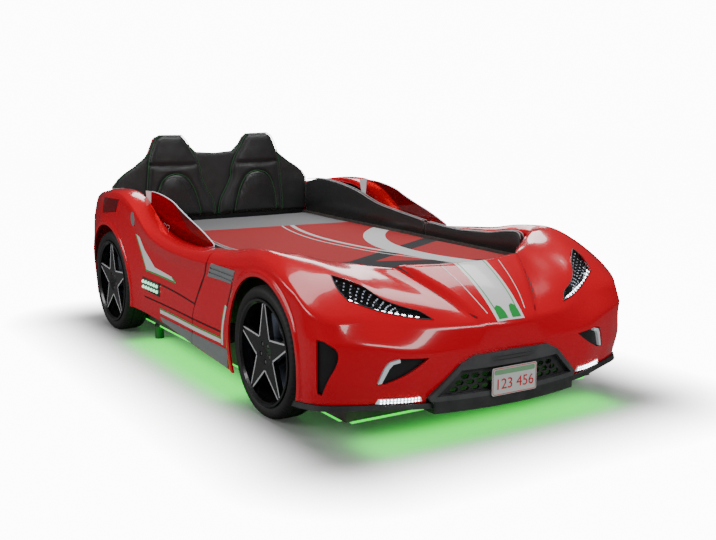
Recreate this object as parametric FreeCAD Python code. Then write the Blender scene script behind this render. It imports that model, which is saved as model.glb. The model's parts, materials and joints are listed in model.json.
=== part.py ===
import FreeCAD, Part
import math
import os

from FreeCAD import Vector

# Children's car bed. Millimetres, +Z up, floor at z = 0, nose toward -Y.
# x = 0 is the plane of symmetry, and y = 0 is half way along the body.

# ---------------------------------------------------------------- sleeping place
mattress_width = 900.0
mattress_length = 1900.0
mattress_thickness = 170.0
mattress_edge_round = 22.0
coverlet_thickness = 6.0
coverlet_drop = 120.0
tuck_gap = 12.0                 # between the coverlet and the side boards
foot_gap = 8.0                  # between the mattress and the foot board
head_gap = 14.0                 # lets the mattress swing up past the seat cushions

# ---------------------------------------------------------------- board frame
board_thickness = 16.0
board_foot_height = 60.0        # underside of the boards above the floor
side_board_top = 424.0
foot_board_top = 330.0
slat_width = 70.0
slat_thickness = 14.0
slat_count = 13
slat_end_gap = 4.0
ledge_width = 30.0
ledge_height = 45.0
beam_width = 44.0
beam_height = 60.0
beam_leg_width = 36.0
beam_leg_count = 3
glide_radius = 18.0
glide_inset = 40.0              # glides stay clear of the wheels and the headboard by this
mattress_underside = 250.0

# ---------------------------------------------------------------- wheels
wheel_radius = 211.0
rim_radius = 170.0
tyre_width = 104.0
wheel_board_gap = 2.0
tyre_wall = 9.0
tyre_shoulder = 20.0
rim_lip = 7.0
rim_wall = 4.0
spoke_count = 5
spoke_thickness = 16.0
spoke_root_radius = 62.0
spoke_tip_half_width = 9.0
spoke_face_depth = 10.0         # spoke faces behind the tyre's outer side
hub_radius = 44.0
bolt_circle = 30.0
wheel_bolt_radius = 6.0
wheel_bolt_height = 5.0
wheel_bolt_recess = 2.0         # round each wheel bolt's head
disc_radius = 122.0
disc_thickness = 8.0
disc_hole_radius = 6.0
disc_hole_count = 10
caliper_depth = 26.0
fender_stand_proud = 10.0       # fender outside the tyre's outer side
wheelbase = 1427.0
front_overhang = 508.0
arch_radius = 243.0
arch_forward = 16.0             # arch centre in front of the wheel centre
arch_lip_width = 22.0
arch_lip_proud = 5.0

# ---------------------------------------------------------------- body shells
shell_thickness = 5.0
shoulder_height = 545.0         # highest line of the front fenders
rim_turn_down = 20.0
seam_gap = 3.0
nose_depth = 195.0              # nose in front of the foot board's inner face
tail_depth = 46.0               # tail behind the headboard's board

# ---------------------------------------------------------------- upholstery
head_pad_thickness = 22.0
seat_thickness = 50.0
seat_round = 13.0
insert_proud = 9.0
side_pad_thickness = 25.0
pad_round = 8.0
small = 0.1                     # how near an edge must lie to a plane to count as in it
pad_overhang = 19.0             # side pads outside the side boards
window_thickness = 5.0
window_pad_gap = 2.0

# ---------------------------------------------------------------- trims
trim_proud = 2.5
trim_gap = 0.6
lens_thickness = 4.0
tray_thickness = 5.0
plate_width = 171.0
plate_height = 85.0
plate_thickness = 3.0
plate_foot = 121.0
mesh_pitch = 36.0
mesh_bar = 6.0
mesh_thickness = 8.0
glow_strip_height = 8.0
glow_strip_width = 12.0

cup_depth = 11.0                # trays behind the openings of the skin
cup_flange = 7.0
prism_reach = 60.0
bar_reach = 30.0
light_bar_gap = 16.0            # from the mouth's widest place to the light bar
light_bar_length = 138.0
light_bar_slant = 8.0
light_bar_rise = 6.0
led_height = 5.0
led_side = 8.0
led_count = 11
LED_LINE = ((462, -925, 424), (285, -1036, 378))
nose_bow = 38.0                 # the nose falls back this much at nose_bow_half
nose_bow_half = 290.0
grille_half = 284.0
grille_top = 255.0
grille_foot = 124.0
grille_crown_share = 0.49       # the top edge stays high to this share of the half width
grille_crown_drop = 4.0
grille_shoulder_share = 0.655
grille_shoulder_drop = 26.0
grille_hip_rise = 14.0          # widest height above the foot
grille_foot_draw = 8.0
grille_reach = 70.0
grille_frame_depth = 40.0
grille_side_band = 15.0
grille_top_band = 44.0
grille_foot_band = 4.0
groove_count = 2
groove_pitch = 11.0
groove_width = 3.0
groove_half = 110.0
groove_depth = 3.0
mesh_inset = 22.0
mesh_flatness = 0.5             # a cell's height over its width
mesh_flat_share = 0.55          # a cell's flat edge over its width
mesh_margin = 16.0
plate_stand_off = 5.0           # frame and chin behind the plate's face
plate_corner = 7.0
plate_stud_radius = 6.0
chin_half = 268.0
chin_foot = 88.0
chin_depth = 70.0
blade_proud = 6.0
blade_seam = 1.5
blade_inward = 22.0
blade_thickness = 15.0
blade_lean = 4.0
seam_reach = 16.0
seam_turn_height = 430.0
seam_turn = 8.0
vent_slat_count = 3
vent_slot = 5.0
vent_slot_depth = 3.0
cap_half_width = 19.0
cap_half_height = 28.0

# ---------------------------------------------------------------- small wheel parts
tyre_bulge = 4.0
shoulder_facets = 3
hub_face_drop = 8.0
hub_dish_share = 1.6            # the dish round the hub, over the hub's own size
disc_stand_off = 30.0
disc_hole_margin = 14.0
caliper_over = 20.0
caliper_reach = 44.0
caliper_face = 26.0
caliper_sweep = 52.0
caliper_turn = 20.0

# ---------------------------------------------------------------- fasteners
bolt_head_radius = 8.0
bolt_head_height = 3.0
bolt_shank_radius = 3.0
bolt_hole_gap = 0.2
corner_bolt_length = 50.0
corner_bolt_heights = (130.0, 330.0)
window_screw_head = 5.0
window_screw_head_height = 1.5
window_screw_radius = 2.0
window_screw_length = 14.0
screw_hole_gap = 0.2

# ---------------------------------------------------------------- supports, electrics
insert_depth = 14.0
insert_round = 8.0
pad_end_gap = 2.0
rib_place = 200.0
rib_thickness = 16.0
rib_foot = 150.0
rib_setback = 70.0
SIDE_BLOCKS = (-330.0, 60.0, 470.0)
block_length = 30.0
block_foot = 180.0
block_height = 60.0
tail_block_place = 300.0
glow_end_gap = 6.0
unit_place = 640.0
unit_length = 160.0
unit_depth = 46.0
unit_height = 70.0
unit_foot = 80.0
unit_round = 6.0
switch_length = 26.0
switch_width = 18.0
switch_depth = 16.0
switch_gap = 0.6
switch_share = 0.3              # place along the unit
inlet_share = 0.75
switch_pivot_depth = 5.0
switch_keel = 6.0
switch_rise = 3.0
switch_dish = 1.0
switch_pin = 1.5
switch_pin_reach = 2.5
running_gap = 0.05
bearing_end = 0.5               # bearing past the pin's end
switch_swing = 12.0
inlet_radius = 6.0
inlet_bore = 4.0
inlet_depth = 14.0
inlet_floor = 2.0
inlet_pin = 1.0

# ---------------------------------------------------------------- places
half_mattress = mattress_width / 2
board_inner = half_mattress + tuck_gap + coverlet_thickness
board_outer = board_inner + board_thickness
tyre_inner = board_outer + wheel_board_gap
tyre_outer = tyre_inner + tyre_width
half_width = tyre_outer + fender_stand_proud
body_length = (nose_depth + foot_gap + mattress_length + head_gap + insert_proud + seat_thickness
               + board_thickness + tail_depth)
tail_y = body_length / 2
nose_y = -body_length / 2
head_board_back = tail_y - tail_depth
head_board_front = head_board_back - board_thickness
seat_front = head_board_front - seat_thickness
head_pad_front = head_board_front - head_pad_thickness
mattress_head = seat_front - insert_proud - head_gap
mattress_foot = mattress_head - mattress_length
foot_board_back = mattress_foot - foot_gap
foot_board_front = foot_board_back - board_thickness
front_axle = nose_y + front_overhang
rear_axle = front_axle + wheelbase
mattress_top = mattress_underside + mattress_thickness
coverlet_top = mattress_top + coverlet_thickness
slat_top = mattress_underside
ledge_top = slat_top - slat_thickness
side_pad_outer = board_outer + pad_overhang
side_pad_inner = side_pad_outer - side_pad_thickness
window_inner = side_pad_outer + window_pad_gap
rail_inner = window_inner + window_thickness

# Places on the drawn body form that are carried to the places above: the middle, the
# rail and the fender's side across; the nose, both axles and the tail along; the
# floor and the shoulder up.
DRAWN_ACROSS = (0.0, 510.0, 600.0)
DRAWN_ALONG = (-1121.0, -612.0, 815.0, 1121.0)
DRAWN_UP = (0.0, 545.0)
DRAWN_BOARD = (0.0, 484.0)


def between(value, marks, places):
    """Carry a drawn value with the datum marks on both sides of it."""
    last = len(marks) - 2
    for k in range(last + 1):
        if value <= marks[k + 1] or k == last:
            share = (value - marks[k]) / (marks[k + 1] - marks[k])
            return places[k] + share * (places[k + 1] - places[k])


def along(y):
    """A drawn place along the bed, carried with the nose, the axles and the tail."""
    return between(y, DRAWN_ALONG, (nose_y, front_axle, rear_axle, tail_y))


def up(z):
    """A drawn height, carried with the shoulder."""
    return between(z, DRAWN_UP, (0.0, shoulder_height))


def at(x, y, z):
    """A drawn point of the body form, at its place on this bed."""
    across = between(abs(x), DRAWN_ACROSS, (0.0, rail_inner, half_width))
    return Vector(math.copysign(across, x), along(y), up(z))


# ---------------------------------------------------------------- character lines
# Each line runs on the half body with x > 0, from the middle of the nose back
# along the side, through the same stations as its neighbours.
FRONT_LINES = (
    # edge of the hood and top of the rail beside the mattress
    ((0, -885, 486), (228, -852, 491), (250, -812, 477), (287, -771, 481), (339, -726, 487),
     (390, -679, 490), (435, -648, 502), (464, -632, 512), (492, -612, 513), (507, -572, 509),
     (510, -510, 500), (510, -430, 492), (510, -330, 484), (510, -215, 476)),
    # crest of the hood's flanks and of the fender
    ((0, -950, 459), (190, -925, 462), (206, -914, 443), (262, -880, 452), (335, -830, 474),
     (412, -780, 494), (478, -738, 512), (524, -710, 520), (545, -675, 526), (552, -625, 530),
     (552, -560, 527), (548, -470, 518), (548, -335, 494), (548, -217, 482)),
    # line over the headlamps
    ((0, -1040, 399), (135, -1020, 404), (150, -1020, 386), (240, -1025, 386), (322, -992, 402),
     (412, -908, 456), (484, -850, 480), (540, -830, 478), (574, -770, 488), (582, -690, 506),
     (583, -590, 512), (583, -480, 496), (583, -340, 474), (583, -218, 464)),
    # nose crease, which becomes the shoulder line of the side
    ((0, -1106, 333), (95, -1098, 338), (111, -1092, 337), (250, -1066, 344), (325, -1036, 356),
     (404, -1000, 372), (484, -990, 376), (544, -978, 374), (586, -925, 396), (599, -830, 442),
     (601, -640, 484), (599, -490, 468), (598, -345, 450), (597, -219, 438)),
    # brow over the grille and the fog lamps
    ((0, -1104, 262), (112, -1101, 264), (130, -1099, 264), (265, -1086, 274), (345, -1074, 284),
     (430, -1048, 302), (508, -1018, 312), (566, -986, 316), (598, -930, 324), (604, -830, 340),
     (604, -640, 400), (600, -500, 395), (592, -350, 396), (590, -190, 398)),
    # lower face
    ((0, -1096, 180), (112, -1094, 180), (130, -1092, 180), (268, -1078, 182), (350, -1068, 186),
     (436, -1038, 192), (514, -1010, 198), (570, -978, 202), (600, -925, 206), (605, -830, 212),
     (604, -640, 230), (600, -500, 250), (594, -350, 240), (592, -72, 232)),
    # lower edge
    ((0, -1084, 112), (112, -1082, 112), (130, -1080, 113), (262, -1064, 120), (344, -1056, 126),
     (430, -1026, 130), (506, -998, 132), (560, -966, 132), (592, -918, 130), (602, -830, 124),
     (600, -650, 112), (596, -500, 104), (592, -350, 98), (590, -60, 96)),
)
# Stations between which the front form runs smoothly: hood dome, its step, flank.
FRONT_DOME_EDGE = 1
FRONT_STEP_FOOT = 2

SIDE_LINES = (
    ((510, -215, 476), (510, 20, 456), (510, 200, 460), (510, 330, 482), (510, 430, 520),
     (510, 520, 568), (510, 620, 598), (510, 740, 603), (510, 860, 590), (510, 960, 576)),
    ((548, -217, 482), (548, 20, 462), (548, 200, 468), (548, 330, 490), (548, 430, 530),
     (548, 520, 577), (548, 620, 605), (546, 740, 608), (540, 865, 595), (528, 968, 580)),
    ((583, -218, 464), (583, 20, 452), (583, 200, 460), (583, 335, 484), (583, 435, 530),
     (583, 525, 577), (583, 622, 603), (581, 742, 604), (570, 868, 589), (550, 978, 574)),
    ((597, -219, 438), (597, 20, 433), (597, 200, 441), (597, 340, 474), (597, 440, 530),
     (598, 530, 573), (598, 625, 596), (596, 745, 594), (586, 872, 574), (564, 988, 556)),
    ((590, -190, 398), (588, 30, 394), (586, 200, 394), (588, 350, 410), (592, 455, 450),
     (600, 545, 490), (603, 640, 515), (604, 760, 505), (600, 895, 485), (584, 1005, 470)),
    ((592, -72, 232), (588, 60, 238), (586, 210, 238), (588, 360, 245), (592, 470, 270),
     (600, 560, 300), (604, 650, 325), (605, 780, 330), (603, 905, 330), (590, 1015, 325)),
    ((590, -60, 96), (586, 70, 100), (582, 215, 108), (582, 365, 116), (586, 480, 124),
     (594, 565, 128), (598, 650, 124), (600, 780, 118), (598, 905, 118), (582, 1005, 122)),
)

# The tail runs the other way, from its middle out to the side skin.
REAR_LINES = (
    ((0, 1096, 554), (400, 1093, 556), (480, 1087, 558), (506, 1050, 562), (510, 960, 576)),
    ((0, 1107, 558), (400, 1104, 560), (484, 1097, 563), (516, 1060, 568), (528, 968, 580)),
    ((0, 1114, 552), (402, 1111, 554), (490, 1105, 557), (530, 1066, 562), (550, 978, 574)),
    ((0, 1118, 536), (404, 1115, 538), (496, 1110, 541), (544, 1074, 546), (564, 988, 556)),
    ((0, 1118, 456), (408, 1116, 458), (506, 1112, 460), (560, 1082, 464), (584, 1005, 470)),
    ((0, 1119, 320), (412, 1118, 320), (510, 1114, 320), (564, 1085, 322), (590, 1015, 325)),
    ((0, 1106, 128), (408, 1104, 128), (504, 1098, 126), (556, 1070, 124), (582, 1005, 122)),
)

parts = {}


def keep(name, *solids):
    """Store one named piece, as one solid or as a group of like solids."""
    flat = []
    for solid in solids:
        flat.extend(solid.Solids)
    parts[name] = flat[0] if len(flat) == 1 else Part.makeCompound(flat)


def box(x0, x1, y0, y1, z0, z1):
    """A block between three pairs of planes, given in any order."""
    low = Vector(min(x0, x1), min(y0, y1), min(z0, z1))
    return Part.makeBox(abs(x1 - x0), abs(y1 - y0), abs(z1 - z0), low)


def mirrored(shape):
    """The same piece on the other side of the bed."""
    return shape.mirror(Vector(0, 0, 0), Vector(1, 0, 0))


def both(shape):
    """A piece and its twin on the other side."""
    return [shape, mirrored(shape)]


def outline_face(points, curved=()):
    """A face inside corners; spans named in curved pass smoothly through their points."""
    edges = []
    count = len(points)
    k = 0
    while k < count:
        run = dict(curved).get(k, 1)
        span = [points[(k + j) % count] for j in range(run + 1)]
        if run == 1:
            edges.append(Part.LineSegment(span[0], span[1]).toShape())
        else:
            curve = Part.BSplineCurve()
            curve.interpolate(Points=span)
            edges.append(curve.toShape())
        k += run
    return Part.Face(Part.Wire(edges))


def edges_along(block, axis):
    """Edges of a block that run along an axis."""
    return [edge for edge in block.Edges if edge.tangentAt(edge.FirstParameter).cross(axis).Length < small]


def profile_yz(x, corners, curved=()):
    """An outline in the plane x, from (y, z) corners."""
    return outline_face([Vector(x, y, z) for y, z in corners], curved)


def profile_xz(y, corners, curved=()):
    """An outline in the plane y, from (x, z) corners."""
    return outline_face([Vector(x, y, z) for x, z in corners], curved)


# ---------------------------------------------------------------- moulded skins
def across_form(lines, turn_down):
    """Placed points of a set of lines, headed by the lip turned down from the first."""
    placed = [[at(*point) for point in line] for line in lines]
    lip = [point - Vector(0, 0, turn_down) for point in placed[0]]
    return [lip] + placed


def with_other_half(rows):
    """Lines run on over the middle to the other side."""
    full = []
    for row in rows:
        far = [Vector(-p.x, p.y, p.z) for p in reversed(row[1:])]
        full.append(far + list(row))
    return full


def skin_normal(rows, i, k):
    """Outward direction of the form at line i and station k."""
    last_line = len(rows) - 1
    last_station = len(rows[0]) - 1
    down = rows[min(i + 1, last_line)][k] - rows[max(i - 1, 0)][k]
    onward = rows[i][min(k + 1, last_station)] - rows[i][max(k - 1, 0)]
    normal = down.cross(onward)
    normal.normalize()
    return normal


def offset_rows(rows, depth):
    """The same lines, moved inward through the skin by depth."""
    moved = []
    for i, row in enumerate(rows):
        moved.append([row[k] - skin_normal(rows, i, k) * depth for k in range(len(row))])
    return moved


def station_knots(rows, first, last):
    """One shared measure along all lines, so that neighbouring lines stay in step."""
    knots = [0.0]
    for k in range(first, last):
        step = sum((row[k + 1] - row[k]).Length for row in rows) / len(rows)
        knots.append(knots[-1] + step)
    return knots


def line_edge(points, knots):
    """A straight edge, or a smooth one through its stations."""
    if len(points) == 2:
        return Part.LineSegment(points[0], points[1]).toShape()
    curve = Part.BSplineCurve()
    curve.interpolate(Points=points, Parameters=knots)
    return curve.toShape()


def skin(rows, outer_depth, inner_depth, spans):
    """A closed skin between two depths under the form, smooth within each span."""
    outer = offset_rows(rows, outer_depth) if outer_depth else rows
    inner = offset_rows(rows, inner_depth)
    faces = []
    for first, last in spans:
        knots = station_knots(rows, first, last)
        edges = {}
        for side, layer in (("outer", outer), ("inner", inner)):
            edges[side] = [line_edge(row[first:last + 1], knots) for row in layer]
            for upper, lower in zip(edges[side][:-1], edges[side][1:]):
                faces.append(Part.makeRuledSurface(upper, lower))
        for end in (0, -1):
            faces.append(Part.makeRuledSurface(edges["outer"][end], edges["inner"][end]))
    for k in (0, len(rows[0]) - 1):
        for i in range(len(rows) - 1):
            upper = Part.LineSegment(outer[i][k], outer[i + 1][k]).toShape()
            lower = Part.LineSegment(inner[i][k], inner[i + 1][k]).toShape()
            faces.append(Part.makeRuledSurface(upper, lower))
    shell = Part.makeShell(faces)
    shell.sewShape()
    solid = Part.Solid(shell)
    if solid.Volume < 0:
        solid.reverse()
    return solid


def flattened(points, direction):
    """Surface points seen along a direction, laid in one plane through their middle."""
    aim = Vector(*direction)
    aim.normalize()
    middle = Vector(0, 0, 0)
    for point in points:
        middle = middle + point / len(points)
    return [point - aim * (point - middle).dot(aim) for point in points], aim


def spread(flat, aim, gap):
    """A flat outline moved out by a gap, or drawn in by a negative one."""
    count = len(flat)
    area = sum(flat[k].cross(flat[(k + 1) % count]).dot(aim) for k in range(count))
    turn = gap if area > 0 else -gap
    moved = []
    for k, point in enumerate(flat):
        before = (point - flat[k - 1]).cross(aim)
        before.normalize()
        after = (flat[(k + 1) % count] - point).cross(aim)
        after.normalize()
        moved.append(point + (before + after) * (turn / (1 + before.dot(after))))
    return moved


def prism(points, direction, curved=(), gap=0.0, reach=prism_reach):
    """The cutter through an outline of surface points, along a direction."""
    flat, aim = flattened([at(*point) for point in points], direction)
    outline = [point - aim * reach for point in spread(flat, aim, gap)]
    return outline_face(outline, curved).extrude(aim * (2 * reach))


front_rows = with_other_half(across_form(FRONT_LINES, rim_turn_down))
front_middle = len(FRONT_LINES[0]) - 1
front_spans = (
    (0, front_middle - FRONT_STEP_FOOT),
    (front_middle - FRONT_STEP_FOOT, front_middle - FRONT_DOME_EDGE),
    (front_middle - FRONT_DOME_EDGE, front_middle + FRONT_DOME_EDGE),
    (front_middle + FRONT_DOME_EDGE, front_middle + FRONT_STEP_FOOT),
    (front_middle + FRONT_STEP_FOOT, 2 * front_middle),
)
side_rows = across_form(SIDE_LINES, rim_turn_down)
side_spans = ((0, len(SIDE_LINES[0]) - 1),)
rear_rows = [list(reversed(row)) for row in with_other_half(across_form(REAR_LINES, rim_turn_down))]
rear_middle = len(REAR_LINES[0]) - 1
rear_spans = ((0, 2 * rear_middle),)


# ---------------------------------------------------------------- board frame
def side_board():
    """Long board that carries the ledge, the wheels and the body side, sloped under the hood."""
    corners = [(foot_board_back, board_foot_height), (head_board_front, board_foot_height),
               (head_board_front, side_board_top), (along(FRONT_PAD_FOOT), side_board_top),
               (foot_board_back, foot_board_top)]
    return profile_yz(board_inner, corners).extrude(Vector(board_thickness, 0, 0))


def foot_board():
    """Cross board under the hood."""
    return box(-board_outer, board_outer, foot_board_front, foot_board_back,
               board_foot_height, foot_board_top)


HEADBOARD_CREST = ((484, 585), (460, 610), (428, 636), (382, 664), (332, 704), (316, 726), (290, 788),
                   (278, 799), (262, 802), (166, 799), (152, 788), (122, 738), (92, 722), (0, 714))


def head_board():
    """Cross board that rises behind the seats, shaped like their outline."""
    places = (0.0, board_outer)
    crest = [(between(x, DRAWN_BOARD, places), up(z)) for x, z in HEADBOARD_CREST]
    half = [(board_outer, board_foot_height)] + crest
    other = [(-x, z) for x, z in reversed(half[:-1])]
    face = profile_xz(head_board_front, half + other)
    return face.extrude(Vector(0, board_thickness, 0))


def bolt(x, y, z, toward, length):
    """A board bolt: hexagon head on the board's outer face, and its shank."""
    corners = []
    for k in range(6):
        turn = math.pi * k / 3
        corners.append((x + bolt_head_radius * math.cos(turn), z + bolt_head_radius * math.sin(turn)))
    head = profile_xz(y, corners).extrude(Vector(0, -toward * bolt_head_height, 0))
    shank = Part.makeCylinder(bolt_shank_radius, length, Vector(x, y, z), Vector(0, toward, 0))
    return head.fuse(shank)


def bolt_hole(x, y, z, toward, length):
    """The drilled hole for one such bolt."""
    return Part.makeCylinder(bolt_shank_radius + bolt_hole_gap, length + bolt_hole_gap,
                             Vector(x, y, z), Vector(0, toward, 0))


def corner_bolt_places():
    """Where the cross boards are bolted to the ends of the side boards."""
    middle = (board_inner + board_outer) / 2
    places = []
    for side in (-1, 1):
        for z in corner_bolt_heights:
            places.append((side * middle, head_board_back, z, -1))
            places.append((side * middle, foot_board_front, z, 1))
    return places


def board_frame():
    """Boards, ledges, centre beam with legs, slats, glides and bolts."""
    places = corner_bolt_places()
    holes = Part.makeCompound([bolt_hole(*place, corner_bolt_length) for place in places])
    right_board = side_board()
    keep("side_board_right", right_board.cut(holes))
    keep("side_board_left", mirrored(right_board).cut(holes))
    keep("foot_board", foot_board().cut(holes))
    keep("headboard_board", head_board().cut(holes))
    keep("board_bolts", *[bolt(*place, corner_bolt_length) for place in places])

    ledge = box(board_inner - ledge_width, board_inner, foot_board_back, head_board_front,
                ledge_top - ledge_height, ledge_top)
    keep("mattress_ledges", *both(ledge))
    beam_half = beam_width / 2
    keep("centre_beam", box(-beam_half, beam_half, foot_board_back, head_board_front,
                            ledge_top - beam_height, ledge_top))
    legs = []
    leg_half = beam_leg_width / 2
    frame_length = head_board_front - foot_board_back
    for k in range(beam_leg_count):
        y = foot_board_back + frame_length * (k + 1) / (beam_leg_count + 1)
        legs.append(box(-leg_half, leg_half, y - leg_half, y + leg_half, 0, ledge_top - beam_height))
    keep("centre_legs", *legs)

    slats = []
    pitch = (frame_length - slat_width - 2 * slat_end_gap) / (slat_count - 1)
    reach = board_inner - slat_end_gap
    for k in range(slat_count):
        y = foot_board_back + slat_end_gap + k * pitch
        slats.append(box(-reach, reach, y, y + slat_width, ledge_top, slat_top))
    keep("base_slats", *slats)

    glides = []
    middle = (board_inner + board_outer) / 2
    for y in glide_places():
        foot = Part.makeCylinder(glide_radius, board_foot_height, Vector(middle, y, 0))
        glides.extend(both(foot))
    keep("glide_feet", *glides)


def glide_places():
    """Places of the glides along a side board, behind the front wheels, which carry the nose."""
    clear = wheel_radius + glide_inset
    return front_axle + clear, rear_axle - clear, head_board_front - glide_inset


# ---------------------------------------------------------------- mattress and cover
def rounded_block(half, y0, y1, z0, z1, radius):
    """A cushion block with all its edges rounded."""
    block = box(-half, half, y0, y1, z0, z1)
    return block.makeFillet(radius, block.Edges)


def bedding():
    """Foam mattress, and the quilted cover that lies over it and hangs into the gap."""
    mattress = rounded_block(half_mattress, mattress_foot, mattress_head,
                             mattress_underside, mattress_top, mattress_edge_round)
    keep("mattress", mattress)
    cloth = coverlet_thickness
    whole = rounded_block(half_mattress + cloth, mattress_foot - cloth, mattress_head + cloth,
                          mattress_underside - cloth, coverlet_top, mattress_edge_round + cloth)
    under = box(-half_width, half_width, nose_y, tail_y, 0, coverlet_top - coverlet_drop)
    keep("coverlet", whole.cut(mattress).cut(under))


# ---------------------------------------------------------------- body
def wheel_arch(axle):
    """The round cut for one wheel."""
    centre = Vector(board_outer, axle - arch_forward, wheel_radius)
    return Part.makeCylinder(arch_radius, half_width, centre, Vector(1, 0, 0))


def arch_lip(axle, rows, spans):
    """The raised lip round one wheel arch, following the skin."""
    centre = Vector(board_outer, axle - arch_forward, wheel_radius)
    ring = Part.makeCylinder(arch_radius + arch_lip_width, half_width, centre, Vector(1, 0, 0))
    ring = ring.cut(wheel_arch(axle))
    raised = skin(rows, -arch_lip_proud, shell_thickness / 2, spans)
    return raised.common(ring)


# Surface points of the openings and trims, on the drawn form's right side.
HEADLAMP = ((478, -844, 485), (484, -896, 447), (472, -936, 416), (396, -985, 391), (322, -1027, 376),
            (253, -1054, 366), (283, -1022, 388), (330, -992, 401), (371, -962, 421), (414, -906, 457))
HEADLAMP_CURVES = ((0, 2), (2, 3), (5, 5))
HEADLAMP_AIM = (0.35, -0.55, 0.76)
FOG = ((287, -1083, 259), (380, -1063, 266), (408, -1052, 258), (422, -1048, 240), (440, -1036, 189),
       (417, -1045, 190), (377, -1061, 206), (334, -1073, 228))
FOG_CURVES = ((1, 3), (5, 3))
FOG_AIM = (0.18, -0.98, 0.0)
DAYLIGHT = ((376, -1063, 263), (404, -1052, 255), (417, -1048, 239), (434, -1036, 192), (424, -1040, 193),
            (404, -1050, 236), (394, -1054, 248), (374, -1062, 253))
INLET = ((588, -954, 325), (574, -976, 321), (549, -998, 300), (543, -1001, 279), (548, -996, 250),
         (563, -984, 216), (577, -962, 160), (586, -950, 163))
INLET_CURVES = ((1, 5),)
INLET_AIM = (0.72, -0.69, 0.0)
VENT = ((597, -261, 444), (598, -452, 447), (596, -414, 398), (591, -208, 391))
TAIL_LAMP = ((594, 842, 566), (599, 636, 575), (603, 678, 521), (602, 846, 501))
LED_PANEL = ((590, 425, 291), (586, 259, 288), (586, 258, 238), (588, 405, 243))
SILL_STRIP = ((583, 267, 160), (583, 237, 142), (594, -368, 104), (595, -368, 169))
ACROSS = (1.0, 0.0, 0.0)
CAP_CENTRE = (597, 490, 512)
LIGHT_BAR = ((grille_half + light_bar_gap, -1070, 128),
             (grille_half + light_bar_gap + light_bar_length, -1036, 130),
             (grille_half + light_bar_gap + light_bar_length - light_bar_slant, -1036, 146),
             (grille_half + light_bar_gap + light_bar_rise, -1070, 143))


def plug(rows, spans, outer, inner, cutter):
    """The part of a layer of the form, between two depths, that lies in a cutter."""
    return skin(rows, outer, inner, spans).common(cutter)


def cup(rows, spans, points, aim, curved):
    """An open tray behind an opening: a flange under the skin and a floor below it."""
    floor = shell_thickness + cup_depth
    outside = plug(rows, spans, shell_thickness, floor, prism(points, aim, curved, cup_flange))
    inside = plug(rows, spans, 0, floor - tray_thickness, prism(points, aim, curved, -trim_gap))
    return outside.cut(inside)


def front_plug(outer, inner, cutter):
    """A trim of the nose skin."""
    return plug(front_rows, front_spans, outer, inner, cutter)


def side_plug(outer, inner, cutter):
    """A trim of the right side skin."""
    return plug(side_rows, side_spans, outer, inner, cutter)


def front_cup(points, aim, curved):
    """A tray behind an opening of the nose skin."""
    return cup(front_rows, front_spans, points, aim, curved)


def nose_shell():
    """Hood, bumper and front fenders as one moulding, with its openings and arch lips."""
    openings = [prism(HEADLAMP, HEADLAMP_AIM, HEADLAMP_CURVES), prism(FOG, FOG_AIM, FOG_CURVES),
                prism(INLET, INLET_AIM, INLET_CURVES), prism(VENT, ACROSS),
                prism(LIGHT_BAR, FOG_AIM, (), 0.0, bar_reach), prism(SILL_STRIP, ACROSS),
                wheel_arch(front_axle)]
    shell = skin(front_rows, 0, shell_thickness, front_spans)
    for lip in both(arch_lip(front_axle, front_rows, front_spans)):
        shell = shell.fuse(lip)
    for opening in openings:
        shell = shell.cut(both(opening))
    return shell.cut(grille_opening())


def side_shell():
    """Right side skin from the door seam to the tail, with its arch lip."""
    shell = skin(side_rows, 0, shell_thickness, side_spans)
    shell = shell.fuse(arch_lip(rear_axle, side_rows, side_spans))
    shell = shell.cut([wheel_arch(rear_axle), prism(TAIL_LAMP, ACROSS), prism(SILL_STRIP, ACROSS)])
    return shell.cut([seam_cut(), window_screw_holes()])


def tail_shell():
    """Rear skin, with the hind ends of the rear arches."""
    shell = skin(rear_rows, 0, shell_thickness, rear_spans)
    return shell.cut(both(wheel_arch(rear_axle)))


def seam_cut():
    """Clears the side skin from its neighbours by the width of the seams."""
    front = [row[0] for row in side_rows]
    rear = [row[-1] for row in side_rows]
    bands = []
    for ends in (front, rear):
        for upper, lower in zip(ends[:-1], ends[1:]):
            bands.append(seam_band(upper, lower))
    return Part.makeCompound(bands)


def seam_band(upper, lower):
    """A straight stretch of a seam's gap, cut square through the skin."""
    run = lower - upper
    length = run.Length + 2 * seam_gap
    run.normalize()
    out = seam_out(upper)
    gap = run.cross(out)
    gap.normalize()
    start = upper - run * seam_gap - out * seam_reach - gap * (seam_gap / 2)
    corners = [start, start + out * (2 * seam_reach)]
    corners += [corners[1] + gap * seam_gap, start + gap * seam_gap]
    return Part.Face(Part.makePolygon(corners + corners[:1])).extrude(run * length)


def seam_out(point):
    """Direction out of the side skin near a seam point."""
    out = Vector(point.x, 0, max(point.z - seam_turn_height, 0) * seam_turn)
    out.normalize()
    return out


# ---------------------------------------------------------------- nose trims
GRILLE_SHARP = 2                # the offset outline keeps sharp corners


def bowed_slab(half, z0, z1, inset, depth):
    """A block whose front is bowed like the nose in plan."""
    ends = nose_y + inset + nose_bow * (half / nose_bow_half) ** 2
    front = Part.Arc(Vector(-half, ends, z0), Vector(0, nose_y + inset, z0), Vector(half, ends, z0))
    back = Part.Arc(Vector(half, ends + depth, z0), Vector(0, nose_y + inset + depth, z0),
                    Vector(-half, ends + depth, z0))
    right = Part.LineSegment(Vector(half, ends, z0), Vector(half, ends + depth, z0))
    left = Part.LineSegment(Vector(-half, ends + depth, z0), Vector(-half, ends, z0))
    wire = Part.Wire([front.toShape(), right.toShape(), back.toShape(), left.toShape()])
    return Part.Face(wire).extrude(Vector(0, 0, z1 - z0))


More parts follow.
